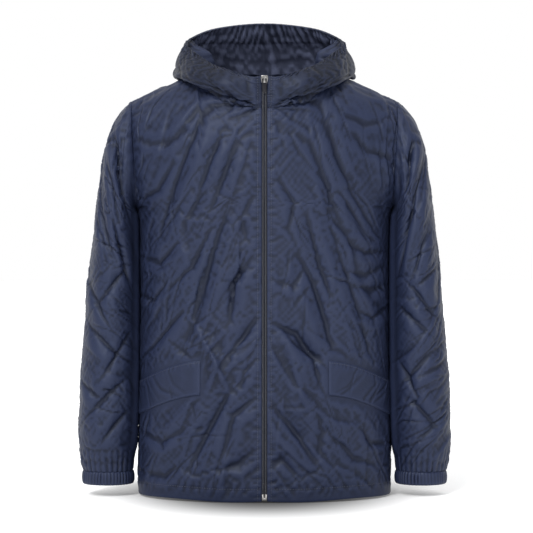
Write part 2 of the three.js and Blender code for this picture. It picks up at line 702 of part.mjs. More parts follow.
function toManifold(geometry) {
  const merged = geometry.clone();
  merged.deleteAttribute('normal');
  merged.deleteAttribute('uv');
  const welded = mergeVertices(merged, 1e-4);
  return new wasm.Manifold(new wasm.Mesh({
    numProp: 3,
    vertProperties: new Float32Array(welded.attributes.position.array),
    triVerts: new Uint32Array(welded.index.array),
  }));
}

function joined(geometries) {
  const solid = geometries.map(toManifold).reduce((sum, next) => sum.add(next));
  const mesh = solid.getMesh();
  const geometry = new THREE.BufferGeometry();
  geometry.setAttribute('position', new THREE.Float32BufferAttribute(mesh.vertProperties, 3));
  geometry.setIndex([...mesh.triVerts]);
  return geometry;
}

// A box given by its limits: x, distance out from the cloth, and height
function slab(x0, x1, out0, out1, z0, z1, surfaceY) {
  const box = new THREE.BoxGeometry(x1 - x0, out1 - out0, z1 - z0);
  return box.translate((x0 + x1) / 2, surfaceY - (out0 + out1) / 2, (z0 + z1) / 2);
}

function metalMesh(name, geometry, color) {
  const mesh = new THREE.Mesh(geometry, new THREE.MeshStandardMaterial({ color, roughness: 0.35, metalness: 0.9 }));
  mesh.name = name;
  return mesh;
}

// A flat outline in X Z, given thickness outwards from the cloth
function plate(shape, out0, out1, surfaceY) {
  const geometry = new THREE.ExtrudeGeometry(shape, { depth: out1 - out0, bevelEnabled: false, curveSegments: 4 });
  geometry.rotateX(Math.PI / 2);
  return geometry.translate(0, surfaceY - out0, 0);
}

const zipTopY = middleFrontAt(pullAxisZ).y;

function sliderOutline() {
  const half = plateWidth / 2;
  const waist = half * 0.72;
  const shape = new THREE.Shape();
  shape.moveTo(-waist, plateFootZ);
  shape.lineTo(waist, plateFootZ);
  shape.lineTo(half, lerp(plateFootZ, plateTopZ, 0.55));
  shape.quadraticCurveTo(half, plateTopZ, waist, plateTopZ);
  shape.lineTo(-waist, plateTopZ);
  shape.quadraticCurveTo(-half, plateTopZ, -half, lerp(plateFootZ, plateTopZ, 0.55));
  shape.closePath();
  return shape;
}

function zipSlider() {
  const w = bridgeHalfWidth;
  const legFoot = bridgeFootZ + bridgeThick;
  const legTop = bridgeTopZ - bridgeThick;
  const lap = 0.3;
  const pieces = [
    plate(sliderOutline(), plateIn, plateOut, zipTopY),
    plate(sliderOutline(), backPlateIn, backPlateOut, zipTopY),
    slab(-postHalfWidth, postHalfWidth, backPlateOut - lap, plateIn + lap, postFootZ, plateTopZ - 0.6, zipTopY),
    slab(-w, w, plateOut - lap, bridgeOut, bridgeFootZ, legFoot, zipTopY),
    slab(-w, w, plateOut - lap, bridgeOut, legTop, bridgeTopZ, zipTopY),
    slab(-w, w, bridgeOut - bridgeThick, bridgeOut, bridgeFootZ, bridgeTopZ, zipTopY),
  ];
  return metalMesh('zip_slider', joined(pieces), nickel);
}

// The pull hangs from a round bar under the slider's bridge, and its eye clears the bridge all the way up
function zipPull() {
  const bar = new THREE.CylinderGeometry(pullBarRadius, pullBarRadius, 2 * pullHalfWidth, 12);
  bar.rotateZ(Math.PI / 2).translate(0, zipTopY - pullAxisOut, pullAxisZ);
  const low = pullAxisOut - pullBarRadius;
  const high = pullAxisOut + pullBarRadius;
  const tabTop = pullAxisZ - pullEyeLength;
  const tabFoot = pullAxisZ - pullLength;
  const round = pullHalfWidth;
  const tab = new THREE.Shape();
  tab.moveTo(-pullHalfWidth, tabTop);
  tab.lineTo(-pullHalfWidth * 0.8, tabFoot + round);
  tab.absarc(0, tabFoot + round * 0.8, round * 0.8, Math.PI, 2 * Math.PI, false);
  tab.lineTo(pullHalfWidth, tabTop);
  tab.closePath();
  const lap = 0.3;
  const pieces = [
    bar,
    slab(-pullHalfWidth, -pullEyeHalf, low, high, tabTop - lap, pullAxisZ, zipTopY),
    slab(pullEyeHalf, pullHalfWidth, low, high, tabTop - lap, pullAxisZ, zipTopY),
    plate(tab, low, high, zipTopY),
  ];
  return metalMesh('zip_pull', joined(pieces), gunmetal);
}

function zipBox() {
  const shape = new THREE.Shape();
  shape.moveTo(-boxHalfWidth, boxFootZ);
  shape.lineTo(boxHalfWidth, boxFootZ);
  shape.lineTo(boxHalfWidth, boxTopZ);
  shape.lineTo(boxSlit[1], boxTopZ);
  shape.lineTo(boxSlit[1], boxFootZ + boxBridgeHeight);
  shape.lineTo(boxSlit[0], boxFootZ + boxBridgeHeight);
  shape.lineTo(boxSlit[0], boxTopZ);
  shape.lineTo(-boxHalfWidth, boxTopZ);
  shape.closePath();
  return metalMesh('zip_box', plate(shape, boxIn, boxOut, middleFrontAt(boxTopZ).y), nickel);
}

const jacket = new THREE.Group();
for (const [word, side] of [['left', 1], ['right', -1]]) {
  jacket.add(
    frontPanel(`front_${word}`, side),
    sleeve(`sleeve_${word}`, side),
    cuff(`cuff_${word}`, side),
    hoodHalf(`hood_${word}`, side),
    pocketFlap(`pocket_flap_${word}`, side),
    zipTape(`zip_tape_${word}`, side),
  );
}
jacket.add(backPanel(), zipSlider(), zipPull(), zipBox());

export default jacket;
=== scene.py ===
import math
import bpy
import numpy as np
from mathutils import Matrix, Vector


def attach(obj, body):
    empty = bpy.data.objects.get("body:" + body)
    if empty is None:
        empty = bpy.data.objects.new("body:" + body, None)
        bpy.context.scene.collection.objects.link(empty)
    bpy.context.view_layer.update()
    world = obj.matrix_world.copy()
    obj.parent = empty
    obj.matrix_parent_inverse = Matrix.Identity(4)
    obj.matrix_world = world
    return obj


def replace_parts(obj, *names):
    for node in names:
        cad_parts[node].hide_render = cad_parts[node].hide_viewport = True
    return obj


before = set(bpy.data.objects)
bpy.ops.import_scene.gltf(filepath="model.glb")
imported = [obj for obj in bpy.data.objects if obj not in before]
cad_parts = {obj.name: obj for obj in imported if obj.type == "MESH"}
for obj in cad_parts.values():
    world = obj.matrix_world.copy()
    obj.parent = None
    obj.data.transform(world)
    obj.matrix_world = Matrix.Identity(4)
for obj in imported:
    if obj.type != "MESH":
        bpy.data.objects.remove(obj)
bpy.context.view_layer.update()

mm = 0.001
print("frame loaded")

# The jacket's sizes in millimetres, the same ones that the frame's solids have
jacket = {
    "hem": -510.0, "hemWave": 1.2, "hemWaveLength": 150.0,
    "underarm": -170.0, "neckFront": -57.0, "nape": -8.0,
    "roundness": 2.3, "chestSpread": 25.0, "frontFall": 2.5, "backFall": 4.0,
    "tipX": 158.0, "tipZ": -41.5, "shoulderSlope": 0.43, "underarmX": 150.0,
    "neckHalf": 78.0, "zipEdge": 3.2, "chestHalf": 149.0, "chestZ": -300.0,
}
bodyColumns = ("z", "halfWidth", "front", "back")
bodyRows = np.array([
    (-510.0, 151.0, 95.0, 88.0),
    (-440.0, 151.0, 98.0, 92.0),
    (-350.0, 149.5, 101.0, 95.0),
    (-250.0, 149.0, 101.0, 96.0),
    (-170.0, 150.0, 100.0, 95.0),
])


# Catmull-Rom value of a list (numbers or points) at places from 0 to its last index
def spline(values, place):
    values = np.asarray(values, float)
    place = np.asarray(place, float)
    last = len(values) - 1
    i = np.clip(np.floor(place).astype(int), 0, last - 1)
    f = place - i
    before, after = i > 0, i + 2 <= last
    while f.ndim < values.ndim - 1 + place.ndim:
        f, before, after = f[..., None], before[..., None], after[..., None]
    b, c = values[i], values[i + 1]
    a = np.where(before, values[np.maximum(i - 1, 0)], 2 * b - c)
    d = np.where(after, values[np.minimum(i + 2, last)], 2 * c - b)
    return b + 0.5 * f * (c - a + f * (2 * a - 5 * b + 4 * c - d + f * (3 * (b - c) + d - a)))


def smooth(low, high, x):
    t = np.clip((x - low) / (high - low), 0, 1)
    return t * t * (3 - 2 * t)


def lerp(a, b, t):
    return a + (b - a) * t


def bodySize(column, z):
    place = np.interp(z, bodyRows[:, 0], np.arange(len(bodyRows)))
    return spline(bodyRows[:, bodyColumns.index(column)], place)


def shoulderZ(x):
    return jacket["tipZ"] - jacket["shoulderSlope"] * (np.abs(x) - jacket["tipX"])


# Distance of the front (facing -1) or the back (facing 1) from the middle plane
def bodyDepth(facing, x, z):
    j = jacket
    rise = np.clip((z - j["underarm"]) / (j["tipZ"] - j["underarm"]), 0, 1)
    power = lerp(1.8, 0.5, smooth(0.72, 1, np.abs(x) / j["underarmX"]))
    low = np.minimum(z, j["underarm"])
    halfWidth = bodySize("halfWidth", low) + j["chestSpread"] * rise ** power
    reach = bodySize("front" if facing < 0 else "back", low)
    across = np.maximum(0, 1 - (np.abs(x) / halfWidth) ** j["roundness"]) ** (1 / j["roundness"])
    height = np.clip((z - j["underarm"]) / (shoulderZ(x) - j["underarm"]), 0, 1)
    turnIn = np.sqrt(np.maximum(0, 1 - height ** (j["frontFall"] if facing < 0 else j["backFall"])))
    return facing * reach * across * turnIn


def necklineZ(facing, x):
    arc = 1 - np.sqrt(np.maximum(0, 1 - (x / jacket["neckHalf"]) ** 2))
    return lerp(jacket["neckFront"] if facing < 0 else jacket["nape"], shoulderZ(jacket["neckHalf"]), arc)


# Where the body's side stands beside a place, below the underarm
def bodySide(y, z):
    low = np.minimum(z, jacket["underarm"])
    reach = np.where(y < 0, bodySize("front", low), bodySize("back", low))
    share = np.minimum(np.abs(y) / reach, 1)
    return bodySize("halfWidth", low) * (1 - share ** jacket["roundness"]) ** (1 / jacket["roundness"])


# Little relief where a sleeve lies against the body's side
sleeveLies = {"less": 0.85, "x": (144, 148), "z": (-165, -185)}


def openSide(points):
    beside = smooth(*sleeveLies["x"], np.abs(points[..., 0])) * smooth(*sleeveLies["z"], points[..., 2])
    return 1 - sleeveLies["less"] * beside


def armholeX(rise):
    return lerp(jacket["underarmX"], jacket["tipX"], rise)


# Points of the smooth front or back: shares of the width, by rows.
# A row is a height, and how far it has risen from the underarm (0) to the shoulder (1).
def panelPlace(facing, share, height, rise):
    j = jacket
    wave = j["hemWave"] * smooth(0, 60, j["hem"] + 60 - height)
    lowX = share * bodySize("halfWidth", height)
    lowZ = height + wave * np.sin(2 * np.pi * lowX / j["hemWaveLength"]) * facing
    topX = np.abs(share) * j["tipX"]
    neckZ = necklineZ(facing, np.minimum(topX, j["neckHalf"]))
    topZ = np.where(topX < j["neckHalf"] - 1e-6, neckZ, shoulderZ(topX))
    highX = share * armholeX(rise)
    highZ = lerp(j["underarm"], topZ, rise)
    above = rise > 0
    x = np.where(above, highX, lowX)
    y = bodyDepth(facing, x, np.where(above, highZ, height))
    return np.stack([x, y, np.where(above, highZ, lowZ)], -1)


# Smooth noise on a plane, one value for each place, the same every run
def noise(x, y, seed):
    table = np.random.default_rng(seed)
    angles = table.uniform(0, 2 * np.pi, 4096)
    shuffle = table.permutation(4096)
    x0, y0 = np.floor(x).astype(int), np.floor(y).astype(int)
    fx, fy = x - x0, y - y0
    sx, sy = fx * fx * fx * (fx * (fx * 6 - 15) + 10), fy * fy * fy * (fy * (fy * 6 - 15) + 10)

    def corner(dx, dy):
        angle = angles[shuffle[(x0 + dx + shuffle[(y0 + dy) % 4096]) % 4096]]
        return np.cos(angle) * (fx - dx) + np.sin(angle) * (fy - dy)

    return lerp(lerp(corner(0, 0), corner(1, 0), sx), lerp(corner(0, 1), corner(1, 1), sx), sy) * 1.4


# Sharp-edged crumple: ridges where smooth noise crosses nought, at several sizes, along a wandering slant
crumple = {
    "large": ((46, 2.6), (24, 1.2)),  # wavelength and height of each size
    "small": ((14, 0.30), (8, 0.15), (4.6, 0.06)),
    "stretch": 4.2,  # wrinkles are this much longer than they are wide
    "slantSize": 150.0, "slantSpread": 0.40,
    "bend": 6.0, "bendSize": 38,
    "patchSize": 70, "least": 0.10,  # it comes in patches, and between them this much is left
    "turn": 0.22,  # each size leans a little more than the one before
    "second": 0.7,  # strength of a finer layer that breaks up the pattern
}


def crumpleHeight(p, q, seed, slant=0.0, size="large"):
    c = crumple
    angle = slant + c["slantSpread"] * noise(p / c["slantSize"], q / c["slantSize"], seed)
    bendP = c["bend"] * noise(p / c["bendSize"], q / c["bendSize"], seed + 1)
    bendQ = c["bend"] * noise(p / c["bendSize"] + 7.7, q / c["bendSize"], seed + 2)
    height = np.zeros_like(p)
    patches = c["least"] + smooth(-0.1, 0.55, noise(p / c["patchSize"], q / c["patchSize"], seed + 3))
    for k, (width, high) in enumerate(c[size]):
        a = angle + c["turn"] * k
        length = width * c["stretch"]
        along = (p + bendP) * np.sin(a) + (q + bendQ) * np.cos(a)
        across = (p + bendP) * np.cos(a) - (q + bendQ) * np.sin(a)
        n = noise(across / width, along / length, seed + 10 + k)
        n += c["second"] * noise(1.63 * across / width + 5.3, 1.9 * along / length + 2.6, seed + 40 + k)
        height += high * (0.42 - 0.8 * np.abs(n)) * 1.6
    return height * patches


# Long slanting folds that lean one way: a slow rise, then a sharp drop, broken up unevenly
folds = {
    "sizes": ((48, 2.5), (27, 1.2)),  # spacing and depth
    "turn": 0.22,
    "waver": 1.5,
    "steep": 0.87,  # where in its width a fold drops
    "sway": 15.0, "smallSway": 7,
}


def dragFolds(p, q, seed, slant, lean=1, size=1.0):
    bend = folds["sway"] * noise(p / 75, q / 120, seed)
    bend += folds["smallSway"] * noise(p / 44, q / 44, seed + 1)
    total = np.zeros_like(p)
    for k, (spacing, depth) in enumerate(folds["sizes"]):
        a = slant + folds["turn"] * (k - 0.5)
        across = p * np.cos(a) - q * np.sin(a) + bend
        along = p * np.sin(a) + q * np.cos(a)
        wander = noise(across / (2.3 * spacing), along / (5.5 * spacing), seed + 20 + k)
        phase = lean * (across / spacing + folds["waver"] * wander)
        s = phase - np.floor(phase)
        profile = smooth(0, folds["steep"], s) - smooth(folds["steep"], 1, s)
        broken = noise(across / (1.4 * spacing) + 3, along / (3.1 * spacing), seed + 30 + k)
        total += size * depth * (profile - 0.4) * smooth(-0.12, 0.3, broken)
    return total


# Listed creases: depth and width in mm, then a path in the front's own plane (X, Z).
# A crease is a trough with a lower ridge beside it; a depth below nought turns it into a ridge.
frontCreases = {
    "left": [
        (2.5, 8, [(64, -52), (83, -106), (98, -149), (131, -202)]),
        (1.8, 6, [(52, -95), (66, -130), (88, -190)]), (3.0, 8, [(49, -183), (64, -241), (79, -279)]),
        (5.0, 9, [(40, -228), (56, -259), (70, -302), (78, -335)]),
        (5.5, 9, [(14, -307), (36, -318), (56, -347), (64, -374)]),
        (3.0, 8, [(72, -180), (93, -245), (106, -283), (122, -340)]),
        (5.0, 10, [(12, -403), (41, -439), (62, -470)]), (-3.0, 10, [(30, -345), (40, -375), (48, -400)]),
        (2.2, 6, [(88, -155), (104, -180), (118, -204)]),
        (2.0, 6, [(96, -212), (118, -224), (142, -222)]),
        (2.0, 6, [(92, -246), (118, -250), (140, -240)]),
        (2.4, 6, [(104, -262), (124, -268), (143, -262)]),
        (2.2, 6, [(108, -290), (126, -300), (144, -288)]), (1.8, 5, [(18, -140), (34, -168), (28, -196)]),
        (1.8, 5, [(16, -258), (34, -262), (44, -244)]), (2.4, 6, [(10, -470), (20, -462), (34, -478)]),
        (2.0, 6, [(84, -440), (104, -462), (128, -470)]),
        (1.8, 5, [(112, -428), (126, -446), (140, -448)]), (2.2, 6, [(60, -405), (66, -430), (62, -462)]),
        (1.6, 5, [(100, -66), (118, -74), (136, -70)]), (1.8, 5, [(104, -86), (118, -104), (138, -110)]),
    ],
    "right": [
        (3.5, 8, [(72, -62), (89, -106), (106, -150), (122, -204)]),
        (2.5, 7, [(50, -82), (70, -140), (84, -178)]), (2.2, 6, [(34, -100), (46, -134), (60, -170)]),
        (4.0, 9, [(40, -164), (60, -225), (74, -279), (94, -336)]),
        (2.4, 6, [(62, -196), (84, -240), (106, -262)]), (3.5, 7, [(12, -226), (36, -259), (40, -302)]),
        (4.0, 8, [(10, -300), (24, -322), (40, -340)]), (-3.5, 7, [(78, -311), (57, -348), (40, -388)]),
        (2.5, 6, [(10, -346), (22, -360), (27, -376)]), (4.5, 9, [(36, -374), (62, -425), (88, -474)]),
        (3.0, 7, [(12, -392), (36, -412), (46, -452)]), (2.2, 6, [(96, -292), (118, -318), (136, -340)]),
        (2.0, 6, [(104, -330), (84, -346), (72, -338)]),
        (2.2, 6, [(100, -212), (122, -236), (140, -230)]),
        (2.0, 5, [(112, -258), (130, -280), (144, -274)]),
        (2.4, 6, [(96, -430), (120, -444), (142, -436)]),
        (2.2, 6, [(100, -470), (116, -484), (140, -482)]), (2.0, 6, [(14, -452), (30, -468), (50, -474)]),
        (1.8, 5, [(96, -80), (112, -98), (136, -96)]), (2.0, 5, [(108, -122), (124, -150), (142, -160)]),
        (1.8, 5, [(14, -160), (26, -184), (22, -208)]),
    ],
}
backCreases = [
    (3.5, 11, [(118, -150), (84, -205), (60, -275)]), (3.5, 11, [(-112, -160), (-90, -220), (-50, -290)]),
    (4.0, 11, [(96, -300), (62, -370), (50, -440)]), (4.5, 11, [(-84, -310), (-70, -380), (-30, -450)]),
    (3.0, 11, [(10, -210), (-6, -300), (14, -390)]), (-3.0, 12, [(30, -150), (26, -240), (34, -330)]),
    (-3.0, 12, [(-40, -170), (-28, -250), (-60, -340)]), (2.4, 7, [(120, -215), (96, -246), (88, -290)]),
    (2.4, 7, [(-126, -230), (-104, -262), (-112, -310)]),
    (2.6, 7, [(126, -360), (104, -392), (110, -440)]),
    (2.6, 7, [(-128, -372), (-104, -410), (-84, -470)]), (2.2, 7, [(18, -420), (6, -452), (26, -486)]),
    (2.0, 6, [(100, -84), (84, -112), (92, -144)]), (2.0, 6, [(-96, -80), (-84, -116), (-60, -140)]),
    (2.0, 7, [(54, -190), (34, -228), (44, -262)]),
]


# Section of a crease, in widths of its own, and the narrow line that sharpens it in the fine cloth
creaseShape = {
    "ends": 0.3, "power": 1.6, "ridge": 0.45, "ridgeAway": 1.7, "ridgeWidth": 1.1,
    "sharpDepth": 0.45, "sharpLeast": 1.3, "sharpWidth": 0.18,
}


# Depth of a set of creases at places a, b of a panel
def creaseDepth(creases, a, b, scaleA=1.0, sharp=False):
    total = np.zeros_like(a)
    s = creaseShape
    for depth, width, path in creases:
        if sharp:
            depth, width = s["sharpDepth"] * depth, s["sharpLeast"] + s["sharpWidth"] * width
        best = np.full(a.shape, 1e9)
        along = np.zeros_like(a)
        side = np.zeros_like(a)
        for i in range(len(path) - 1):
            da, db = (path[i + 1][0] - path[i][0]) * scaleA, path[i + 1][1] - path[i][1]
            pa, pb = (a - path[i][0]) * scaleA, b - path[i][1]
            t = np.clip((pa * da + pb * db) / (da * da + db * db), 0, 1)
            distance = np.hypot(pa - t * da, pb - t * db)
            nearer = distance < best
            best = np.where(nearer, distance, best)
            along = np.where(nearer, (i + t) / (len(path) - 1), along)
            side = np.where(nearer, np.sign(pa * db - pb * da), side)
        fade = s["ends"] + (1 - s["ends"]) * np.sin(np.pi * along)
        trough = np.exp(-np.abs(best / width) ** s["power"])
        beside = (best * side - s["ridgeAway"] * width) / (s["ridgeWidth"] * width)
        ridge = s["ridge"] * np.exp(-beside ** 2)
        total += depth * fade * (trough - ridge)
    return total


# Short thin creases scattered over a panel from a fixed seed, most of them near one slant
scatter = {"length": (18, 84), "depth": (0.45, 1.6), "width": (0.8, 1.9), "slantSpread": 0.30, "bend": 3.5}


def scattered(count, low, high, slant, seed):
    table = np.random.default_rng(seed)
    creases = []
    for _ in range(count):
        middle = table.uniform(low, high)
        angle = slant + table.normal(0, scatter["slantSpread"])
        along = np.array([np.sin(angle), np.cos(angle)]) * table.uniform(*scatter["length"]) / 2
        bend = np.array([np.cos(angle), -np.sin(angle)]) * table.normal(0, scatter["bend"])
        path = [middle - along, middle + bend, middle + along]
        creases.append((table.uniform(*scatter["depth"]), table.uniform(*scatter["width"]), path))
    return creases


def gridNormals(points, closed):
    if closed:
        along = np.roll(points, -1, 0) - np.roll(points, 1, 0)
    else:
        along = np.gradient(points, axis=0)
    normal = np.cross(along, np.gradient(points, axis=1))
    return normal / np.maximum(np.linalg.norm(normal, axis=-1, keepdims=True), 1e-9)


# A grid with its first row once more at its end, where it closes
def ringOf(points, closed):
    return np.concatenate([points, points[:1]]) if closed else points


# Lengths along a grid's two ways, in mm: the place of each point on the flat cloth
def flatPlaces(points, closed):
    rows = np.linalg.norm(np.diff(ringOf(points, closed), axis=0), axis=-1).mean(1)
    p = np.concatenate([[0], np.cumsum(rows)])[: len(points)]
    q = np.concatenate([[0], np.cumsum(np.linalg.norm(np.diff(points, axis=1), axis=-1).mean(0))])
    return np.meshgrid(p, q, indexing="ij")


# Width, length and area of a piece's cut in mm: the smooth piece and the spare cloth in its creases
def cutSize(points, closed):
    ring = ringOf(points, closed)
    width = np.linalg.norm(np.diff(ring, axis=0), axis=-1).sum(0).max()
    length = np.linalg.norm(np.diff(points, axis=1), axis=-1).sum(1).max()
    a, b = np.diff(ring[:, :-1], axis=0), np.diff(ring[:-1], axis=1)
    area = np.linalg.norm(np.cross(a, b), axis=-1).sum()
    ease = 1 + settle["spare"]
    return width * ease, length * ease, area * ease * ease


# A finer grid through the same points
def refined(points, closed, times):
    count = len(points)
    if closed:
        wrapped = np.concatenate([points[-2:], points, points[:3]])
        points = spline(wrapped, 2 + np.arange(count * times) / times)
    else:
        points = spline(points, np.arange((count - 1) * times + 1) / times)
    across = points.swapaxes(0, 1)
    fine = spline(across, np.arange((across.shape[0] - 1) * times + 1) / times)
    return fine.swapaxes(0, 1)


# How far each point lies in a hollow (above nought) or on a crest (below it),
# from neighbours 1, 2 and 4 steps away, each with its weight
hollowReaches = ((1, 1.1), (2, 1.0), (4, 0.9))


def hollowness(points, normals, closed):
    total = np.zeros(points.shape[:2])
    for reach, weight in hollowReaches:
        wrapped = np.pad(points, ((reach, reach), (0, 0), (0, 0)), "wrap" if closed else "edge")
        wrapped = np.pad(wrapped, ((0, 0), (reach, reach), (0, 0)), "edge")
        middle = (wrapped[2 * reach:, reach:-reach] + wrapped[:-2 * reach, reach:-reach]
                  + wrapped[reach:-reach, 2 * reach:] + wrapped[reach:-reach, :-2 * reach]) / 4
        total += weight * ((middle - points) * normals).sum(-1)
    return np.clip(total, -1, 1)


# The lowest of each point's own height and its neighbours'
def lowest(height, closed, reach=2):
    padded = np.pad(height, ((reach, reach), (0, 0)), "wrap" if closed else "edge")
    padded = np.pad(padded, ((0, 0), (reach, reach)), "edge")
    rows, columns = height.shape
    result = height
    for i in range(2 * reach + 1):
        for j in range(2 * reach + 1):
            result = np.minimum(result, padded[i:i + rows, j:j + columns])
    return result


# A strip of faces between the outer wall's border and the inner one's, which may have fewer points
def borderFaces(outerLine, innerLine, step):
    strip = []
    for i in range(len(innerLine) - 1):
        outerPart = outerLine[i * step: (i + 1) * step + 1]
        strip.append([innerLine[i], innerLine[i + 1], *outerPart[::-1]])
    return strip


# The four-sided faces of a grid of point numbers
def gridFaces(index):
    return np.stack([index[:-1, :-1], index[1:, :-1], index[1:, 1:], index[:-1, 1:]], -1).reshape(-1, 4)


def numbered(rows, columns, closed, first=0):
    return ringOf(first + np.arange(rows * columns).reshape(rows, columns), closed)


creaseAngle = math.radians(58)  # edges sharper than this aren't smoothed over


# A closed wall of cloth from its outer and inner points, as a mesh in metres with its flat places as UV.
# The inner wall takes every step-th point. Both keep how far the reverse side's pale colour reaches, which is
# painted light, and a darkening value: painted shade in hollows, more painted shade on the hood, and the
# hood's casing line.
def clothObject(name, outer, inner, closed, mirrored, flat, step=1, dark=0.0, liningDark=0.0, lining=1.0):
    rows, columns = outer.shape[:2]
    paintedShadeAndSeam = hollowness(outer, gridNormals(outer, closed), closed)
    paintedShadeAndSeam = np.concatenate([(paintedShadeAndSeam + dark).ravel(), (liningDark - paintedShadeAndSeam)[::step, ::step].ravel()])
    lining = np.broadcast_to(lining, (rows, columns))[::step, ::step].ravel()
    inner = inner[::step, ::step]
    points = np.concatenate([outer.reshape(-1, 3), inner.reshape(-1, 3)]) * mm
    if mirrored:
        points[:, 0] *= -1
    outerIndex = numbered(rows, columns, closed)
    innerIndex = numbered(*inner.shape[:2], closed, rows * columns)
    faces = gridFaces(outerIndex).tolist() + gridFaces(innerIndex)[:, [0, 3, 2, 1]].tolist()
    faces += borderFaces(outerIndex[:, 0], innerIndex[:, 0], step)
    faces += borderFaces(outerIndex[::-1, -1], innerIndex[::-1, -1], step)
    if not closed:
        faces += borderFaces(outerIndex[0, ::-1], innerIndex[0, ::-1], step)
        faces += borderFaces(outerIndex[-1], innerIndex[-1], step)
    if mirrored:
        faces = [face[::-1] for face in faces]
    mesh = bpy.data.meshes.new(name)
    mesh.from_pydata(points.tolist(), [], faces)
    uv = np.stack([flat[0], flat[1]], -1) * mm
    uv = np.concatenate([uv.reshape(-1, 2), uv[::step, ::step].reshape(-1, 2)])
    corners = np.empty(len(mesh.loops), int)
    mesh.loops.foreach_get("vertex_index", corners)
    mesh.uv_layers.new(name="flatCloth").data.foreach_set("uv", uv[corners].ravel())
    reverse = mesh.attributes.new("reverseSide", "FLOAT", "POINT")
    reverse.data.foreach_set("value", np.concatenate([np.zeros(rows * columns), lining]))
    mesh.attributes.new("paintedShadeAndSeam", "FLOAT", "POINT").data.foreach_set("value", paintedShadeAndSeam)
    mesh.shade_smooth()
    mesh.set_sharp_from_angle(angle=creaseAngle)
    obj = bpy.data.objects.new(name, mesh)
    bpy.context.collection.objects.link(obj)
    return obj


# Mid-size buckles come from Blender's cloth: every piece is a little longer than its place
# and is held at its seams, so it crumples as thin coated fabric does
settle = {
    "frames": 16, "spare": 0.055, "hold": 0.30, "stiffness": 40.0, "bending": 0.22, "substeps": 5,
    "mass": 0.12, "damping": 6.0, "airDamping": 2.0, "shrink": -0.01, "furthest": 7.0,
}


def settleTogether(pieces):
    scene = bpy.context.scene
    scene.frame_start, scene.frame_end = 1, settle["frames"]
    objects = []
    for piece in pieces:
        points, closed = piece["points"], piece["closed"]
        faces = gridFaces(numbered(*points.shape[:2], closed))
        mesh = bpy.data.meshes.new("settling")
        mesh.from_pydata((points.reshape(-1, 3) * mm).tolist(), [], faces.tolist())
        obj = bpy.data.objects.new("settling", mesh)
        scene.collection.objects.link(obj)
        group = obj.vertex_groups.new(name="held")
        hold = np.round(piece["hold"].ravel(), 2)
        for weight in np.unique(hold):
            group.add(np.nonzero(hold == weight)[0].tolist(), float(weight), "REPLACE")
        obj.shape_key_add(name="in place")
        flat = obj.shape_key_add(name="cut")
        slack = np.array(piece["slack"])
        across = slack / np.linalg.norm(slack)
        loose = (points.reshape(-1, 3) @ across)[:, None] * slack
        flat.points.foreach_set("co", ((points.reshape(-1, 3) + loose) * mm).ravel())
        modifier = obj.modifiers.new("settling", "CLOTH")
        cloth = modifier.settings
        cloth.rest_shape_key = flat
        cloth.quality = settle["substeps"]
        cloth.mass = settle["mass"]
        cloth.tension_stiffness = cloth.compression_stiffness = settle["stiffness"]
        cloth.shear_stiffness = settle["stiffness"] / 3
        cloth.bending_stiffness = settle["bending"]
        cloth.tension_damping = cloth.compression_damping = cloth.shear_damping = settle["damping"]
        cloth.air_damping = settle["airDamping"]
        cloth.shrink_min = cloth.shrink_max = settle["shrink"]
        cloth.vertex_group_mass = "held"
        cloth.pin_stiffness = 1.0
        cloth.effector_weights.gravity = 0.0
        modifier.collision_settings.use_collision = False
        modifier.point_cache.frame_start = 1
        modifier.point_cache.frame_end = settle["frames"]
        objects.append(obj)
    for step in range(1, settle["frames"] + 1):
        scene.frame_set(step)
    graph = bpy.context.evaluated_depsgraph_get()
    for piece, obj in zip(pieces, objects):
        moved = np.empty(len(obj.data.vertices) * 3)
        obj.evaluated_get(graph).data.vertices.foreach_get("co", moved)
        shift = moved.reshape(piece["points"].shape) / mm - piece["points"]
        length = np.linalg.norm(shift, axis=-1, keepdims=True)
        shift *= np.minimum(1, settle["furthest"] / np.maximum(length, 1e-6)) * piece["loose"][..., None]
        piece["points"] = piece["points"] + shift
        mesh = obj.data
        bpy.data.objects.remove(obj)
        bpy.data.meshes.remove(mesh)
    scene.frame_set(1)


# How far a place is from each border of a piece, as a share that grows from 0 at the border to 1
def inside(flat, low=None, high=None, foot=None, top=None):
    p, q = flat
    share = np.ones_like(p)
    for width, distance in ((low, p), (high, p.max() - p), (foot, q), (top, q.max() - q)):
        if width:
            share = share * smooth(0, width, distance)
    return share


grid = {"step": 3.6, "risingRows": 33, "finer": 2, "wall": 1.0, "hemWall": 2.0}
neckShare = jacket["neckHalf"] / jacket["tipX"]


# Shares of the half width that lie evenly along the chest's curve
def evenShares(first, last, step):
    share = np.linspace(first, last, 400)
    x = share * jacket["chestHalf"]
    y = bodyDepth(-1, x, np.full_like(x, jacket["chestZ"]))
    length = np.concatenate([[0], np.cumsum(np.hypot(np.diff(x), np.diff(y)))])
    count = max(2, int(round(length[-1] / step)))
    return np.interp(np.linspace(0, length[-1], count + 1), length, share)


# The turn from the straight body into the shoulder, made gradual between these heights
shoulderTurn = {"low": (-215, -180), "high": (-118, -150), "passes": 24}


def easedPanel(points, facing):
    y = points[..., 1]
    z = points[..., 2]
    window = smooth(*shoulderTurn["low"], z) * smooth(*shoulderTurn["high"], z)
    for _ in range(shoulderTurn["passes"]):
        middle = (y[:, :-2] + 2 * y[:, 1:-1] + y[:, 2:]) / 4
        y[:, 1:-1] = lerp(y[:, 1:-1], middle, window[:, 1:-1])
    points[..., 1] = facing * np.maximum(facing * y, 0)
    return points


# Shares across a front or half of the back, one of them at the neck's end of the shoulder seam
def panelShares(first):
    nearNeck = evenShares(first, neckShare, grid["step"])
    return np.concatenate([nearNeck, evenShares(neckShare, 1, grid["step"])[1:]])


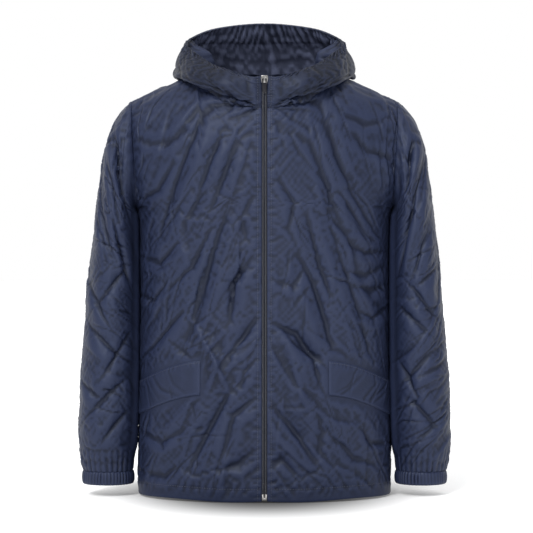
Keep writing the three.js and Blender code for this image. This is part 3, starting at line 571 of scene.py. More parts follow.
def panelRows():
    tall = jacket["underarm"] - jacket["hem"]
    low = np.linspace(jacket["hem"], jacket["underarm"], int(round(tall / grid["step"])) + 1)
    even = np.arange(1, grid["risingRows"] + 1) / grid["risingRows"]
    rise = lerp(even, (1 - np.cos(np.pi * even)) / 2, 0.55)  # closer together at both ends
    height = np.concatenate([low, np.full(len(rise), jacket["underarm"])])
    return height[None], np.concatenate([np.zeros(len(low)), rise])[None]


flap = {
    "top": -348.7, "drop": 28.0, "power": 1.7, "height": 40.0, "bodyHalf": 149.5,
    "quiet": 12.0, "thinCreases": 12, "slant": 0.6, "over": 0.35, "thick": 1.2, "least": 0.75,
    "seed": {"left": 811, "right": 847},
}


def flapLine(q):
    return flap["top"] - flap["drop"] * q ** flap["power"]


# 0 under a pocket flap, rising to 1 a little way off it
def flapClear(x, z):
    innerX = neckShare * flap["bodyHalf"]
    q = np.clip((x - innerX) / (flap["bodyHalf"] - innerX), 0, 1)
    quiet = flap["quiet"]
    beside = smooth(0, quiet, innerX - x)
    above = smooth(0, quiet, z - flapLine(q) - 1)
    below = smooth(0, quiet, flapLine(q) - flap["height"] - 1 - z)
    return np.maximum(beside, np.maximum(above, below))


# Held firmly at its border and loosely inside
def heldAt(edge):
    return np.where(edge < 0.02, 1, settle["hold"] + (1 - settle["hold"]) * (1 - edge) ** 2)


# A piece before the cloth settles: its smooth points sunk by its creases, and how it is held
def basePiece(name, points, depth, hold, loose, slack, closed=False):
    sunk = points - gridNormals(points, closed) * depth[..., None]
    return {"name": name, "points": sunk, "closed": closed, "hold": hold, "loose": loose,
            "cut": cutSize(points, closed), "slack": slack}


front = {
    "slack": (0.020, 0, 0.012), "lean": {"left": 1, "right": -1}, "thinCreases": 80,
    "crumple": 0.35, "crumpleSlant": -0.45, "foldSlant": -0.5,
    "seed": {"left": 11, "right": 37}, "fineSeed": {"left": 311, "right": 347},
}


def frontBase(word):
    shares = panelShares(jacket["zipEdge"] / jacket["chestHalf"])
    height, rise = panelRows()
    points = easedPanel(panelPlace(-1, shares[:, None], height, rise), -1)
    points[0, :, 0] = jacket["zipEdge"]
    flat = flatPlaces(points, False)
    clear = flapClear(points[..., 0], points[..., 2])
    free = inside(flat, low=9, high=14, foot=18, top=10) * clear
    crumpled = front["crumple"] * crumpleHeight(*flat, front["seed"][word], front["crumpleSlant"])
    depth = creaseDepth(frontCreases[word], points[..., 0], points[..., 2]) * free - crumpled * free
    edge = inside(flat, low=5, high=5, foot=16, top=5) * clear
    return basePiece("front_" + word, points, depth, heldAt(edge), edge, front["slack"])


back = {
    "slack": (0.020, 0, 0.008), "thinCreases": 150, "thinSlant": 0.2,
    "crumple": 0.5, "smallCrumple": 0.7, "crumpleSlant": -0.3, "foldSlants": (0.4, -0.4),
    "seed": 71, "fineSeed": 411,
}


def backBase():
    half = panelShares(0)
    shares = np.concatenate([half[::-1], -half[1:]])
    height, rise = panelRows()
    points = easedPanel(panelPlace(1, shares[:, None], height, rise), 1)
    flat = flatPlaces(points, False)
    free = inside(flat, low=14, high=14, foot=18, top=10)
    crumpled = back["crumple"] * crumpleHeight(*flat, back["seed"], back["crumpleSlant"])
    depth = creaseDepth(backCreases, points[..., 0], points[..., 2]) - crumpled
    edge = inside(flat, low=5, high=5, foot=16, top=5)
    return basePiece("back", points, depth * free, heldAt(edge), edge, back["slack"])


# Rings of a sleeve: outer line X Z, inner line X Z, half depth, how far forward,
# and how much it has left the armhole's curve
sleeveRings = np.array([
    (158.0, -41.5, 150.0, -170.0, 43.0, 0, 0), (168.6, -49.8, 151.2, -171.5, 50.0, 0, 0.45),
    (181.2, -69.0, 152.2, -174.0, 55.0, 0, 0.85), (190.2, -98.0, 151.4, -180.0, 58.0, 1, 1),
    (195.6, -132.0, 150.4, -192.0, 59.0, 2, 1), (200.4, -165.0, 149.8, -208.0, 59.0, 3, 1),
    (203.6, -195.0, 149.6, -226.0, 58.0, 4, 1), (206.6, -223.0, 149.5, -245.0, 57.0, 5, 1),
    (209.6, -251.0, 149.5, -266.0, 56.0, 6, 1), (212.0, -280.0, 149.5, -290.0, 55.0, 7, 1),
    (214.4, -309.0, 149.6, -315.0, 54.0, 8, 1), (216.8, -338.0, 149.7, -342.0, 52.0, 9, 1),
    (219.2, -367.0, 149.9, -369.0, 50.0, 10, 1), (220.6, -395.0, 150.2, -396.0, 48.0, 11, 1),
    (221.6, -420.0, 151.0, -420.0, 45.0, 12, 1), (221.2, -442.0, 152.8, -442.0, 41.0, 13, 1),
    (219.6, -460.0, 154.4, -460.0, 36.0, 13, 1), (217.8, -472.0, 155.4, -472.0, 32.0, 13, 1),
    (216.4, -482.0, 156.4, -482.0, 29.5, 13, 1),
])
sleeveCreases = {
    "left": [
        (6.5, 5, [(0.14, -92), (0.22, -116), (0.30, -150)]),
        (4.0, 5, [(0.27, -176), (0.33, -214), (0.38, -250)]),
        (4.0, 9, [(0.12, -120), (0.24, -165), (0.36, -215)]), (3.0, 8, [(0.16, -200), (0.28, -250)]),
        (3.5, 8, [(0.3, -262), (0.14, -300)]), (3.0, 8, [(0.14, -330), (0.34, -372)]),
        (3.5, 8, [(0.32, -395), (0.16, -432)]), (3.5, 10, [(0.9, -150), (0.76, -210)]),
        (3.5, 10, [(0.66, -260), (0.86, -310)]), (3.0, 10, [(0.88, -360), (0.68, -410)]),
        (2.6, 6, [(0.2, -88), (0.3, -128), (0.36, -160)]), (2.2, 6, [(0.1, -240), (0.26, -262)]),
        (2.6, 6, [(0.38, -286), (0.2, -318)]), (2.4, 6, [(0.1, -352), (0.24, -366)]),
        (2.6, 6, [(0.38, -350), (0.28, -392)]), (2.6, 6, [(0.12, -412), (0.26, -440)]),
    ],
    "right": [
        (7.0, 5, [(0.12, -88), (0.20, -114), (0.30, -154)]),
        (4.5, 5, [(0.24, -186), (0.31, -222), (0.37, -256)]),
        (4.5, 9, [(0.18, -95), (0.3, -145), (0.38, -190)]), (3.0, 8, [(0.1, -165), (0.24, -222)]),
        (3.0, 8, [(0.36, -240), (0.16, -285)]), (3.5, 8, [(0.12, -310), (0.32, -345)]),
        (3.5, 8, [(0.34, -375), (0.14, -415)]), (3.5, 10, [(0.86, -130), (0.7, -190)]),
        (3.5, 10, [(0.7, -240), (0.9, -295)]), (3.0, 10, [(0.84, -345), (0.66, -395)]),
        (2.6, 6, [(0.12, -110), (0.22, -150), (0.28, -186)]), (2.4, 6, [(0.3, -214), (0.38, -262)]),
        (2.2, 6, [(0.1, -262), (0.22, -300)]), (2.6, 6, [(0.38, -318), (0.22, -372)]),
        (2.4, 6, [(0.1, -378), (0.2, -392)]), (2.6, 6, [(0.36, -412), (0.24, -444)]),
    ],
}
sleeve = {
    "girth": 260.0, "around": 90, "slack": (0.01, 0, 0.032), "nearHold": 0.75, "off": 0.05,
    "crumple": 0.35, "slant": 0.9, "folds": 0.7, "elbow": 0.35, "creasesFrom": (58, 88),
    "thinCreases": 120, "thinSlant": 1.1,
    # where the sleeve hangs against the body, it lies this far from it
    "gap": 0.3, "pressedWithin": 14, "pressedTop": (-168, -180), "pressedFoot": (-470, -448),
    "seed": {"left": 113, "right": 157}, "fineSeed": {"left": 511, "right": 547},
}
sleeveGathers = {"top": -446.0, "foot": -482.0, "depth": 1.5, "count": 27}


def armholePoints(turn):
    rise = (1 + np.cos(turn)) / 2
    x = armholeX(rise)
    z = lerp(jacket["underarm"], jacket["tipZ"], rise)
    y = np.where(np.sin(turn) > 0, bodyDepth(-1, x, z), bodyDepth(1, x, z))
    return np.stack([x, np.where(np.abs(np.sin(turn)) < 1e-6, 0, y), z], -1)


def sleeveSurface(place, turn):
    ring = spline(sleeveRings, place)[None]
    turn = turn[:, None]
    across = (1 - np.cos(turn)) / 2
    x = lerp(ring[..., 0], ring[..., 2], across)
    y = -ring[..., 5] - ring[..., 4] * np.sin(turn)
    z = lerp(ring[..., 1], ring[..., 3], across)
    join = np.clip(ring[..., 6], 0, 1)[..., None]
    points = lerp(armholePoints(turn), np.stack([x, y, z], -1), join)
    points[..., 0] += sleeve["off"]
    side = bodySide(points[..., 1], points[..., 2])
    away = points[..., 0] - side
    gap = sleeve["gap"]
    pressed = side + gap + np.maximum(away - gap, 0) * smooth(0, sleeve["pressedWithin"], away)
    against = smooth(*sleeve["pressedTop"], points[..., 2]) * smooth(*sleeve["pressedFoot"], points[..., 2])
    points[..., 0] = lerp(points[..., 0], pressed, against)
    return points


def sleeveBase(word):
    dense = np.linspace(0, len(sleeveRings) - 1, 400)
    line = spline(sleeveRings[:, [0, 1]], dense)
    length = np.concatenate([[0], np.cumsum(np.linalg.norm(np.diff(line, axis=0), axis=1))])
    count = int(round(length[-1] / grid["step"]))
    place = np.interp(np.linspace(0, length[-1], count + 1), length, dense)
    turn = 2 * np.pi * np.arange(sleeve["around"]) / sleeve["around"]
    points = sleeveSurface(place, turn)
    flat = flatPlaces(points, True)
    z = points[..., 2]
    free = smooth(0, 14, flat[1]) * smooth(0, 12, flat[1].max() - flat[1])
    nearBody = smooth(153, 166, points[..., 0])
    share = np.repeat((turn / (2 * np.pi))[:, None], points.shape[1], 1)
    depth = creaseDepth(sleeveCreases[word], share, z, sleeve["girth"]) * smooth(*sleeve["creasesFrom"], -z)
    elbow = 1 + sleeve["elbow"] * smooth(-430, -380, z) * smooth(190, 250, -z)
    seed = sleeve["seed"][word]
    wrap = crumpleHeight(flat[0], flat[1], seed, sleeve["slant"])
    backTo = crumpleHeight(flat[0] - flat[0].max() - grid["step"], flat[1], seed, sleeve["slant"])
    depth = depth - sleeve["crumple"] * lerp(wrap, backTo, smooth(0.8, 1.0, share)) * elbow
    hold = np.where(nearBody < 0.6, sleeve["nearHold"], settle["hold"])
    hold[:, [0, 1, -2, -1]] = 1
    loose = nearBody * smooth(0, 5, flat[1]) * smooth(0, 6, flat[1].max() - flat[1])
    return basePiece("sleeve_" + word, points, depth * free * nearBody, hold, loose, sleeve["slack"], True)


# Hood profiles round the neck: turn in degrees from the front, then points from the seam to the rim
hoodTurns = np.array([0, 13, 32, 45, 60, 75, 90, 120, 150, 180.0])
hoodLevels = np.array([
    [(3.2, -88.4, -52), (3.2, -89.4, -47), (3.2, -89.8, -41),
     (3.2, -89.8, -34), (3.2, -89.8, -27.5), (3.2, -89.8, -21)],
    [(17.6, -88.6, -51.4), (17.7, -89.8, -47), (17.8, -90.8, -42),
     (17.8, -91.2, -35), (17.8, -90.6, -27.5), (17.8, -88.8, -20.4)],
    [(41.5, -83, -46), (42, -88, -41.5), (43, -92, -35.5),
     (43.5, -92, -27.5), (43, -86.5, -19), (42, -76, -11.5)],
    [(57, -76, -39.5), (60, -80, -36.5), (63.5, -83, -31),
     (65, -80, -22), (63, -71, -12), (59, -56.5, -3.5)],
    [(70, -64.5, -31), (75, -67.5, -31), (82, -67, -27.5),
     (86, -61, -17), (83, -50, -3), (74, -35, 8)],
    [(80, -42, -16), (87, -43, -19), (95, -42, -20),
     (99, -36, -12), (96, -27, 4), (87, -17, 19)],
    [(85, 0, -5.4), (95, 0, -10), (105.5, 0, -14.4),
     (109, 2, -8), (105, 4, 10), (95, 3, 28)],
    [(74, 39, -7), (86, 45, -14), (98, 51, -24),
     (104, 56, -10), (101, 53, 14), (87, 36, 41)],
    [(44, 70, -15), (54, 86, -40), (64, 99, -66),
     (72, 108, -45), (67, 93, 12), (58, 60, 54.5)],
    [(0, 84, -24), (0, 97, -50), (0, 109, -100),
     (0, 125, -74), (0, 107, 8), (0, 67, 61)],
])
hood = {
    "inset": 0.9, "lift": 0.1, "sideLift": 0.4, "around": 84, "up": 44, "casingWall": 2.2,
    "slack": (0.03, 0.03, 0.05), "crumple": 0.6, "slant": 0.2, "foldSlant": 0.5, "folds": 0.6,
    "tucks": 1.5, "wavePitch": 8.2, "waveLean": 0.55,  # the gathers behind its face opening
    "seed": {"left": 211, "right": 257}, "fineSeed": {"left": 711, "right": 747},
}


# The hood's slack side sinks in behind its rim, a pleat that shows inside the face opening
hoodPleat = {
    "depth": 28.0, "deeper": 0.9, "y": 36.0, "lean": -0.35, "width": 16.0, "foot": -26.0, "toRim": (2, 22),
}


def hoodSeam(turn):
    x = (jacket["neckHalf"] - hood["inset"]) * np.sin(turn)
    facing = np.where(turn < np.pi / 2, -1, 1)
    edge = jacket["neckHalf"] * np.sin(turn)
    z = np.where(facing < 0, necklineZ(-1, edge), necklineZ(1, edge))
    y = np.where(facing < 0, bodyDepth(-1, x, z), bodyDepth(1, x, z))
    return np.stack([x, y, z + hood["lift"] + hood["sideLift"] * np.sin(turn) ** 6], -1)


def hoodSurface():
    last = len(hoodTurns) - 1
    dense = np.linspace(0, last, 300)
    beyond = hoodLevels[last - 1] * np.array([-1, 1, 1])
    levels = np.concatenate([hoodLevels, beyond[None]])
    path = spline(levels, dense)[:, 4]
    length = np.concatenate([[0], np.cumsum(np.linalg.norm(np.diff(path, axis=0), axis=1))])
    place = np.interp(np.linspace(0, length[-1], hood["around"] + 1), length, dense)
    turn = np.radians(np.minimum(spline(hoodTurns, place), 180))
    turn[0] = math.asin(jacket["zipEdge"] / jacket["neckHalf"])
    seam = hoodSeam(turn)
    controls = np.concatenate([seam[:, None], spline(levels, place)], 1)
    columns = []
    for control in controls:
        fine = spline(control, np.linspace(0, len(control) - 1, 200))
        run = np.concatenate([[0], np.cumsum(np.linalg.norm(np.diff(fine, axis=0), axis=1))])
        at = np.linspace(0, run[-1], hood["up"] + 1)
        columns.append(np.stack([np.interp(at, run, fine[:, k]) for k in range(3)], -1))
    points = np.array(columns)
    points[0, :, 0] = jacket["zipEdge"]
    points[-1, :, 0] = 0
    toRim = np.linalg.norm(np.diff(points, axis=1), axis=-1)[:, ::-1].cumsum(1)[:, ::-1]
    toRim = np.concatenate([toRim, np.zeros((len(points), 1))], 1)
    pleat = hoodPleat
    away = (points[..., 1] - pleat["y"] - pleat["lean"] * points[..., 2]) / pleat["width"]
    share = np.exp(-away * away) * smooth(*pleat["toRim"], toRim)
    share = share * smooth(pleat["foot"], pleat["foot"] + 16, points[..., 2])
    share = share * (1 + pleat["deeper"] * np.clip((32 - points[..., 2]) / 36, 0, 1))
    points[..., 0] -= pleat["depth"] * share * smooth(80, 100, np.degrees(turn))[:, None]
    return points


# Creases of the hood in its flat cloth: across from the zip, up from the neck seam
hoodCreases = {
    "left": [
        (5.0, 5, [(20, 27), (44, 21), (68, 13), (98, 6)]), (-2.5, 6, [(30, 12), (48, 8), (66, 3)]),
        (3.2, 5, [(22, 6), (30, 20), (36, 30)]), (2.6, 4, [(34, 8), (40, 18), (36, 27)]),
        (2.4, 4, [(12, 10), (16, 24), (24, 33)]), (2.6, 5, [(48, 12), (60, 24), (78, 34)]),
        (2.0, 6, [(70, 40), (110, 52), (150, 70)]), (2.4, 7, [(120, 60), (170, 80), (215, 110)]),
        (2.2, 7, [(150, 40), (190, 70), (220, 60)]), (2.0, 5, [(40, 40), (64, 46), (92, 52)]),
        (3.5, 6, [(232, 98), (252, 124), (262, 150)]), (-3.0, 6, [(240, 150), (256, 128), (276, 118)]),
        (3.0, 6, [(205, 112), (228, 136), (240, 158)]), (3.0, 6, [(262, 100), (270, 122), (282, 140)]),
    ],
    "right": [
        (5.0, 5, [(16, 24), (40, 23), (66, 15), (100, 7)]), (-2.5, 6, [(24, 14), (44, 6), (60, 4)]),
        (3.4, 5, [(20, 4), (30, 16), (40, 32)]), (3.0, 4, [(10, 8), (18, 20), (16, 32)]),
        (2.6, 4, [(30, 5), (44, 18), (58, 26)]), (2.4, 5, [(60, 14), (84, 30), (108, 38)]),
        (2.0, 6, [(60, 36), (96, 50), (140, 62)]), (2.4, 7, [(118, 70), (160, 90), (210, 96)]),
        (2.2, 7, [(160, 50), (200, 78), (230, 88)]), (2.0, 5, [(34, 38), (60, 42), (84, 50)]),
        (3.5, 6, [(228, 104), (246, 122), (270, 132)]), (-3.0, 6, [(232, 156), (250, 140), (262, 116)]),
        (3.0, 6, [(210, 120), (222, 138), (244, 150)]), (3.0, 6, [(256, 104), (276, 112), (284, 128)]),
    ],
}
# Short deep tucks where the hood's fold runs out beside the zip, in the same flat places
hoodTucks = {
    "left": [
        (3.2, 2.6, [(40, 14), (34, 8), (27, 2)]), (2.6, 2.4, [(30, 16), (26, 9), (18, 5)]),
        (2.4, 2.6, [(48, 10), (42, 5), (36, 1)]), (-2.2, 3, [(26, 22), (33, 16), (36, 10)]),
        (2.2, 2.4, [(14, 14), (20, 20), (29, 22)]),
    ],
    "right": [
        (4.4, 2.6, [(47, 13), (40, 7), (29, 1)]), (3.0, 2.4, [(27, 18), (24, 10), (14, 4)]),
        (2.6, 2.4, [(36, 16), (31, 10), (25, 7)]), (-2.2, 3, [(18, 24), (26, 18), (30, 12)]),
        (2.2, 2.4, [(10, 12), (14, 20), (22, 26)]),
    ],
}


def hoodBase(word):
    points = hoodSurface()
    flat = flatPlaces(points, False)
    free = inside(flat, low=8, high=9, foot=7, top=11)
    crumpled = hood["crumple"] * crumpleHeight(*flat, hood["seed"][word], hood["slant"])
    depth = creaseDepth(hoodCreases[word], *flat) - crumpled
    edge = inside(flat, low=5, high=5, foot=5, top=6)
    return basePiece("hood_" + word, points, depth * free, heldAt(edge), edge, hood["slack"])


# A seam draws the cloth in: a groove at the edge, and short uneven puckers across it
def seamed(distance, along, seed, reach=10.0, pucker=0.5, length=7.0, groove=0.8):
    wave = np.sin(2 * np.pi * along / length + 4 * noise(along / 23, distance / 30, seed))
    strength = 0.55 + 1.1 * noise(along / 17 + 5, distance / 40, seed + 1)
    window = smooth(0, 1.5, distance) * smooth(reach, 2, distance)
    return pucker * wave * strength * window - groove * np.exp(-((distance / 1.2) ** 2))


# A row of topstitching holds two layers: a groove at the line, and puckers on both sides
def stitched(offset, along, seed, reach=7.0, pucker=0.4, length=5.5, groove=0.5):
    wave = np.sin(2 * np.pi * along / length + 4 * noise(along / 19, offset / 30, seed))
    strength = 0.6 + 1.1 * noise(along / 15 + 9, offset / 40, seed + 1)
    window = smooth(reach, 1.5, np.abs(offset)) * smooth(0, 1.2, np.abs(offset))
    return pucker * wave * strength * window - groove * np.exp(-((offset / 0.8) ** 2))


# How far each row of stitches lies from its edge, and how the cloth puckers beside it
sewing = {"zipStitch": 4.6, "hemStitch": 15.0, "casingStitch": 12.5, "flapStitch": 2.2, "hemCrumple": 0.5}
puckers = {
    "zip": {"reach": 9, "pucker": 0.55, "length": 8},
    "hem": {"reach": 11, "pucker": 0.55, "length": 10},
    "casing": {"reach": 5, "pucker": 0.2, "length": 5},
    "hoodZip": {"reach": 8, "pucker": 0.45, "length": 7},
    "flap": {"reach": 6, "pucker": 0.35, "length": 6, "groove": 0.4},
    "armhole": {"reach": 13, "pucker": 0.6, "length": 9},
}
edgeTurn = 0.7  # how far an edge that is folded over curves back


def finePoints(piece):
    points = refined(piece["points"], piece["closed"], grid["finer"])
    return points, flatPlaces(points, piece["closed"]), gridNormals(points, piece["closed"])


# Wall of a piece: thicker in a turned hem or casing, inside its stitching
def wallOf(distance, band, thick):
    return lerp(grid["wall"], thick, smooth(band + 0.8, band - 0.8, distance))


# The inner points of a wall, smoother than the outer ones and never in front of them
def innerPoints(points, normals, height, wall, closed=False, most=1.5):
    return points + normals * (np.minimum(lowest(height, closed), most) - wall)[..., None]


def thinCreases(count, low, high, slant, seed, flat):
    return creaseDepth(scattered(count, low, high, slant, seed + 70), *flat)


# A piece ready to become a mesh
def wornPiece(name, outer, inner, flat, normals, cut, closed=False, step=2, tone=None):
    return {"name": name, "outer": outer, "inner": inner, "flat": flat, "normals": normals, "cut": cut,
            "closed": closed, "mirrored": name.endswith("right"), "step": step, "tone": tone or {}}


def dressFront(piece, word):
    points, flat, normals = finePoints(piece)
    p, q = flat
    f, seed = front, front["fineSeed"][word]
    clear = flapClear(points[..., 0], points[..., 2])
    beside = openSide(points)
    free = inside(flat, low=9, high=4, foot=15.5, top=4) * clear * beside
    height = crumpleHeight(p, q, seed, f["crumpleSlant"], "small")
    height = (height + dragFolds(p, q, seed + 60, f["foldSlant"], f["lean"][word])) * free
    height -= creaseDepth(frontCreases[word], points[..., 0], points[..., 2], sharp=True) * free
    high = (p.max() - 6, q.max() - 8)
    height -= thinCreases(f["thinCreases"], (12, 12), high, f["foldSlant"], seed, flat) * free
    inHem = smooth(15, 13, q) * inside(flat, low=9, high=4)
    height += crumpleHeight(p, q, seed + 5, 0.2, "small") * sewing["hemCrumple"] * inHem
    height += stitched(p - sewing["zipStitch"], q, seed + 20, **puckers["zip"])
    height += stitched(q - sewing["hemStitch"], p, seed + 22, **puckers["hem"]) * smooth(2, 9, p)
    height += seamed(p.max() - p, q, seed + 24) * clear * beside
    height += seamed(q.max() - q, p, seed + 26, pucker=0.35) * smooth(30, 60, p)
    height -= edgeTurn * smooth(1.6, 0, p) + edgeTurn * smooth(1.6, 0, q)
    outer = points + normals * height[..., None]
    hem = wallOf(q, sewing["hemStitch"], grid["hemWall"])
    wall = hem * smooth(-1, 7, p) + grid["wall"] * smooth(7, -1, p)
    inner = innerPoints(points, normals, height, wall)
    for side in (outer, inner):
        side[0, :, 0] = jacket["zipEdge"]
    return wornPiece(piece["name"], outer, inner, flat, normals, piece["cut"])


def dressBack(piece):
    points, flat, normals = finePoints(piece)
    p, q = flat
    b, seed = back, back["fineSeed"]
    beside = openSide(points)
    free = inside(flat, low=4, high=4, foot=15.5, top=4) * beside
    slant = lerp(*b["foldSlants"], smooth(0, p.max(), p))
    height = b["smallCrumple"] * crumpleHeight(p, q, seed, b["crumpleSlant"], "small")
    height = (height + dragFolds(p, q, seed + 50, slant)) * free
    height -= creaseDepth(backCreases, points[..., 0], points[..., 2], sharp=True) * free
    high = (p.max() - 10, q.max() - 10)
    height -= thinCreases(b["thinCreases"], (10, 16), high, b["thinSlant"], seed - 10, flat) * free
    inHem = smooth(15, 13, q) * inside(flat, low=4, high=4)
    height += crumpleHeight(p, q, seed + 5, 0.2, "small") * sewing["hemCrumple"] * inHem
    height += stitched(q - sewing["hemStitch"], p, seed + 11, **puckers["hem"])
    height += (seamed(p.max() - p, q, seed + 13) + seamed(p, q, seed + 14)) * beside
    height += seamed(q.max() - q, p, seed + 15, pucker=0.35)
    height -= edgeTurn * smooth(1.6, 0, q)
    outer = points + normals * height[..., None]
    wall = wallOf(q, sewing["hemStitch"], grid["hemWall"])
    return wornPiece("back", outer, innerPoints(points, normals, height, wall), flat, normals, piece["cut"])


# Crinkles round a sleeve, blended where its two ends meet
def roundCrumple(flat, share, seed, slant):
    p, q = flat
    ends = []
    for place in (p, p - p.max() - (p[1, 0] - p[0, 0])):
        drag = dragFolds(place, q, seed + 60, slant, 1, sleeve["folds"])
        ends.append(crumpleHeight(place, q, seed, slant, "small") + drag)
    return lerp(*ends, smooth(0.85, 1, share))


def roundNoise(turn, z, count, seed):
    size = count / (2 * np.pi)
    return noise(size * np.cos(turn) + 0.13 * z, size * np.sin(turn) + 31, seed)


def dressSleeve(piece, word):
    points, flat, normals = finePoints(piece)
    p, q = flat
    seed = sleeve["fineSeed"][word]
    share = np.repeat((np.arange(len(p)) / len(p))[:, None], p.shape[1], 1)
    turn = 2 * np.pi * share
    z = points[..., 2]
    nearBody = smooth(153, 160, points[..., 0])
    toCuff = q.max() - q
    free = smooth(0, 4, q) * smooth(0, 10, toCuff)
    height = roundCrumple(flat, share, seed, sleeve["slant"]) * free * lerp(0.35, 1, nearBody)
    creases = creaseDepth(sleeveCreases[word], share, z, sleeve["girth"], True)
    height -= creases * nearBody * smooth(*sleeve["creasesFrom"], -z) * free
    high = (p.max() - 30, q.max() - 12)
    thin = thinCreases(sleeve["thinCreases"], (30, 16), high, sleeve["thinSlant"], seed, flat)
    height -= thin * nearBody * free
    g = sleeveGathers
    phase = g["count"] * turn + 2.2 * roundNoise(turn, z / 40, 9, seed + 3)
    size = g["depth"] * (0.75 + 0.8 * roundNoise(turn, z / 30, 14, seed + 4))
    size = size * smooth(g["top"], g["foot"] + 6, z)
    height += size * (np.abs(np.sin(phase / 2)) * 1.3 - 0.8) * nearBody
    height += seamed(q, p, seed + 24, **puckers["armhole"]) * lerp(0.5, 1, nearBody)
    height -= 0.5 * smooth(2.5, 0, toCuff)
    outer = points + normals * height[..., None]
    inner = innerPoints(points, normals, height, grid["wall"], True, 1.2)
    return wornPiece(piece["name"], outer, inner, flat, normals, piece["cut"], True)


cuff = {
    "top": -482.3, "foot": -498.0, "middleX": 186.4, "halfWidth": 30.0, "halfDepth": 29.5, "forward": 13.0,
    "gathers": 46, "depth": 0.9, "belly": 1.0, "wall": 2.0, "around": 276, "rows": 14,
    "gathered": 1.35, "crumpled": 1.05,  # how much longer its cut is, round and along
    "seed": {"left": 611, "right": 647},
}


def dressCuff(word):
    c = cuff
    turn = 2 * np.pi * np.arange(c["around"])[:, None] / c["around"]
    z = np.linspace(c["top"], c["foot"], c["rows"] + 1)[None]
    rise = np.linspace(0, 1, c["rows"] + 1)[None]
    belly = c["belly"] * np.sin(np.pi * rise) ** 0.7
    seed = c["seed"][word]
    phase = c["gathers"] * turn + 1.8 * roundNoise(turn, z / 25, 12, seed)
    size = c["depth"] * (0.8 + 0.9 * roundNoise(turn, z / 18, 18, seed + 1))
    gather = size * (np.abs(np.sin(phase / 2)) * 1.5 - 1) * np.sin(np.pi * np.clip(rise, 0.06, 0.94)) ** 0.4
    out = belly + gather - 0.6 * smooth(0.12, 0, rise) - 0.7 * smooth(0.9, 1, rise)
    points = np.stack([
        c["middleX"] + (c["halfWidth"] + out) * np.cos(turn),
        -c["forward"] - (c["halfDepth"] + out) * np.sin(turn),
        z + 0 * turn,
    ], -1)
    outward = np.stack([np.cos(turn) + 0 * z, -np.sin(turn) + 0 * z, np.zeros_like(turn * z)], -1)
    girth = 2 * np.pi * c["halfWidth"] * c["gathered"]
    length = (c["top"] - c["foot"]) * c["crumpled"]
    return wornPiece("cuff_" + word, points, points - outward * c["wall"], flatPlaces(points, True), outward,
                     (girth, length, girth * length), True)


def dressHood(piece, word):
    points, flat, normals = finePoints(piece)
    p, q = flat
    seed = hood["fineSeed"][word]
    toRim = q.max() - q
    free = inside(flat, low=8, high=4, foot=4, top=4) * (1 + 0.9 * smooth(150, 220, p))
    height = crumpleHeight(p, q, seed, hood["slant"], "small")
    height = (height + dragFolds(p, q, seed + 60, hood["foldSlant"], 1, hood["folds"])) * free
    band = smooth(-1, 3, toRim) * smooth(24, 11, toRim)
    waves = (p + hood["waveLean"] * toRim) / hood["wavePitch"]
    wave = np.sin(2 * np.pi * waves + 5 * noise(p / 26, toRim / 30, seed + 3))
    height += wave * (0.6 + 1.1 * noise(p / 19, toRim / 25 + 3, seed + 4)) * band * smooth(4, 16, p)
    height += stitched(toRim - sewing["casingStitch"], p, seed + 20, **puckers["casing"]) * smooth(2, 8, p)
    height += stitched(p - sewing["zipStitch"], q, seed + 22, **puckers["hoodZip"])
    height += seamed(q, p, seed + 24, pucker=0.4) * smooth(30, 60, p) + seamed(p.max() - p, q, seed + 26)
    height -= hood["tucks"] * creaseDepth(hoodTucks[word], p, q) * smooth(3, 9, p)
    height -= edgeTurn * smooth(1.6, 0, p) + 0.6 * smooth(1.6, 0, toRim)
    outer = points + normals * height[..., None]
    wall = wallOf(toRim, sewing["casingStitch"], hood["casingWall"])
    inner = outer - normals * wall[..., None]
    for side in (outer, inner):
        side[0, :, 0] = jacket["zipEdge"]
        side[-1, :, 0] = 0
    # painted shade darkens the outside away from the zip, painted light makes the reverse paler at the back
    # alone, and the reverse is darker inside the casing and along its stitching line
    tone = {
        "dark": 0.5 + 0.85 * smooth(10, 60, p), "lining": 0.1 + 0.9 * smooth(0.62, 0.78, p / p.max()),
        "liningDark": 0.5 * smooth(13, 11.5, toRim) + 1.2 * np.exp(-((toRim - 13.2) / 1.0) ** 2),
    }
    return wornPiece(piece["name"], outer, inner, flat, normals, piece["cut"], step=1, tone=tone)


def dressFlap(word):
    shares = evenShares(neckShare, 0.998, 1.6)
    q = (shares - neckShare) / (1 - neckShare)
    down = np.linspace(1, 0, 26)[None]
    z = flapLine(q)[:, None] - flap["height"] * down
    points = panelPlace(-1, shares[:, None], z, np.zeros_like(z))
    flat = flatPlaces(points, False)
    normals = gridNormals(points, False)
    p, up = flat
    seed = flap["seed"][word]
    edge = np.minimum(np.minimum(p, up), np.minimum(p.max() - p, up.max() - up))
    height = flap["over"] + flap["thick"] * smooth(0, 1.6, edge) + 0.4 * smooth(6, 0, up)
    height += 0.5 * crumpleHeight(p, up, seed, 0.7, "small") * smooth(0, 5, edge)
    height += 0.5 * crumpleHeight(p, up, seed + 9, 0.3) * smooth(0, 9, edge)
    thin = thinCreases(flap["thinCreases"], (4, 4), (p.max(), up.max() - 5), flap["slant"], seed, flat)
    height -= 0.6 * thin * smooth(0, 4, edge)
    height += stitched(up.max() - up - sewing["flapStitch"], p, seed + 20, **puckers["flap"])
    outer = points + normals * np.maximum(height, flap["least"])[..., None]
    inner = points + normals * flap["over"]
    return wornPiece("pocket_flap_" + word, outer, inner, flat, normals, cutSize(points, False), step=1)


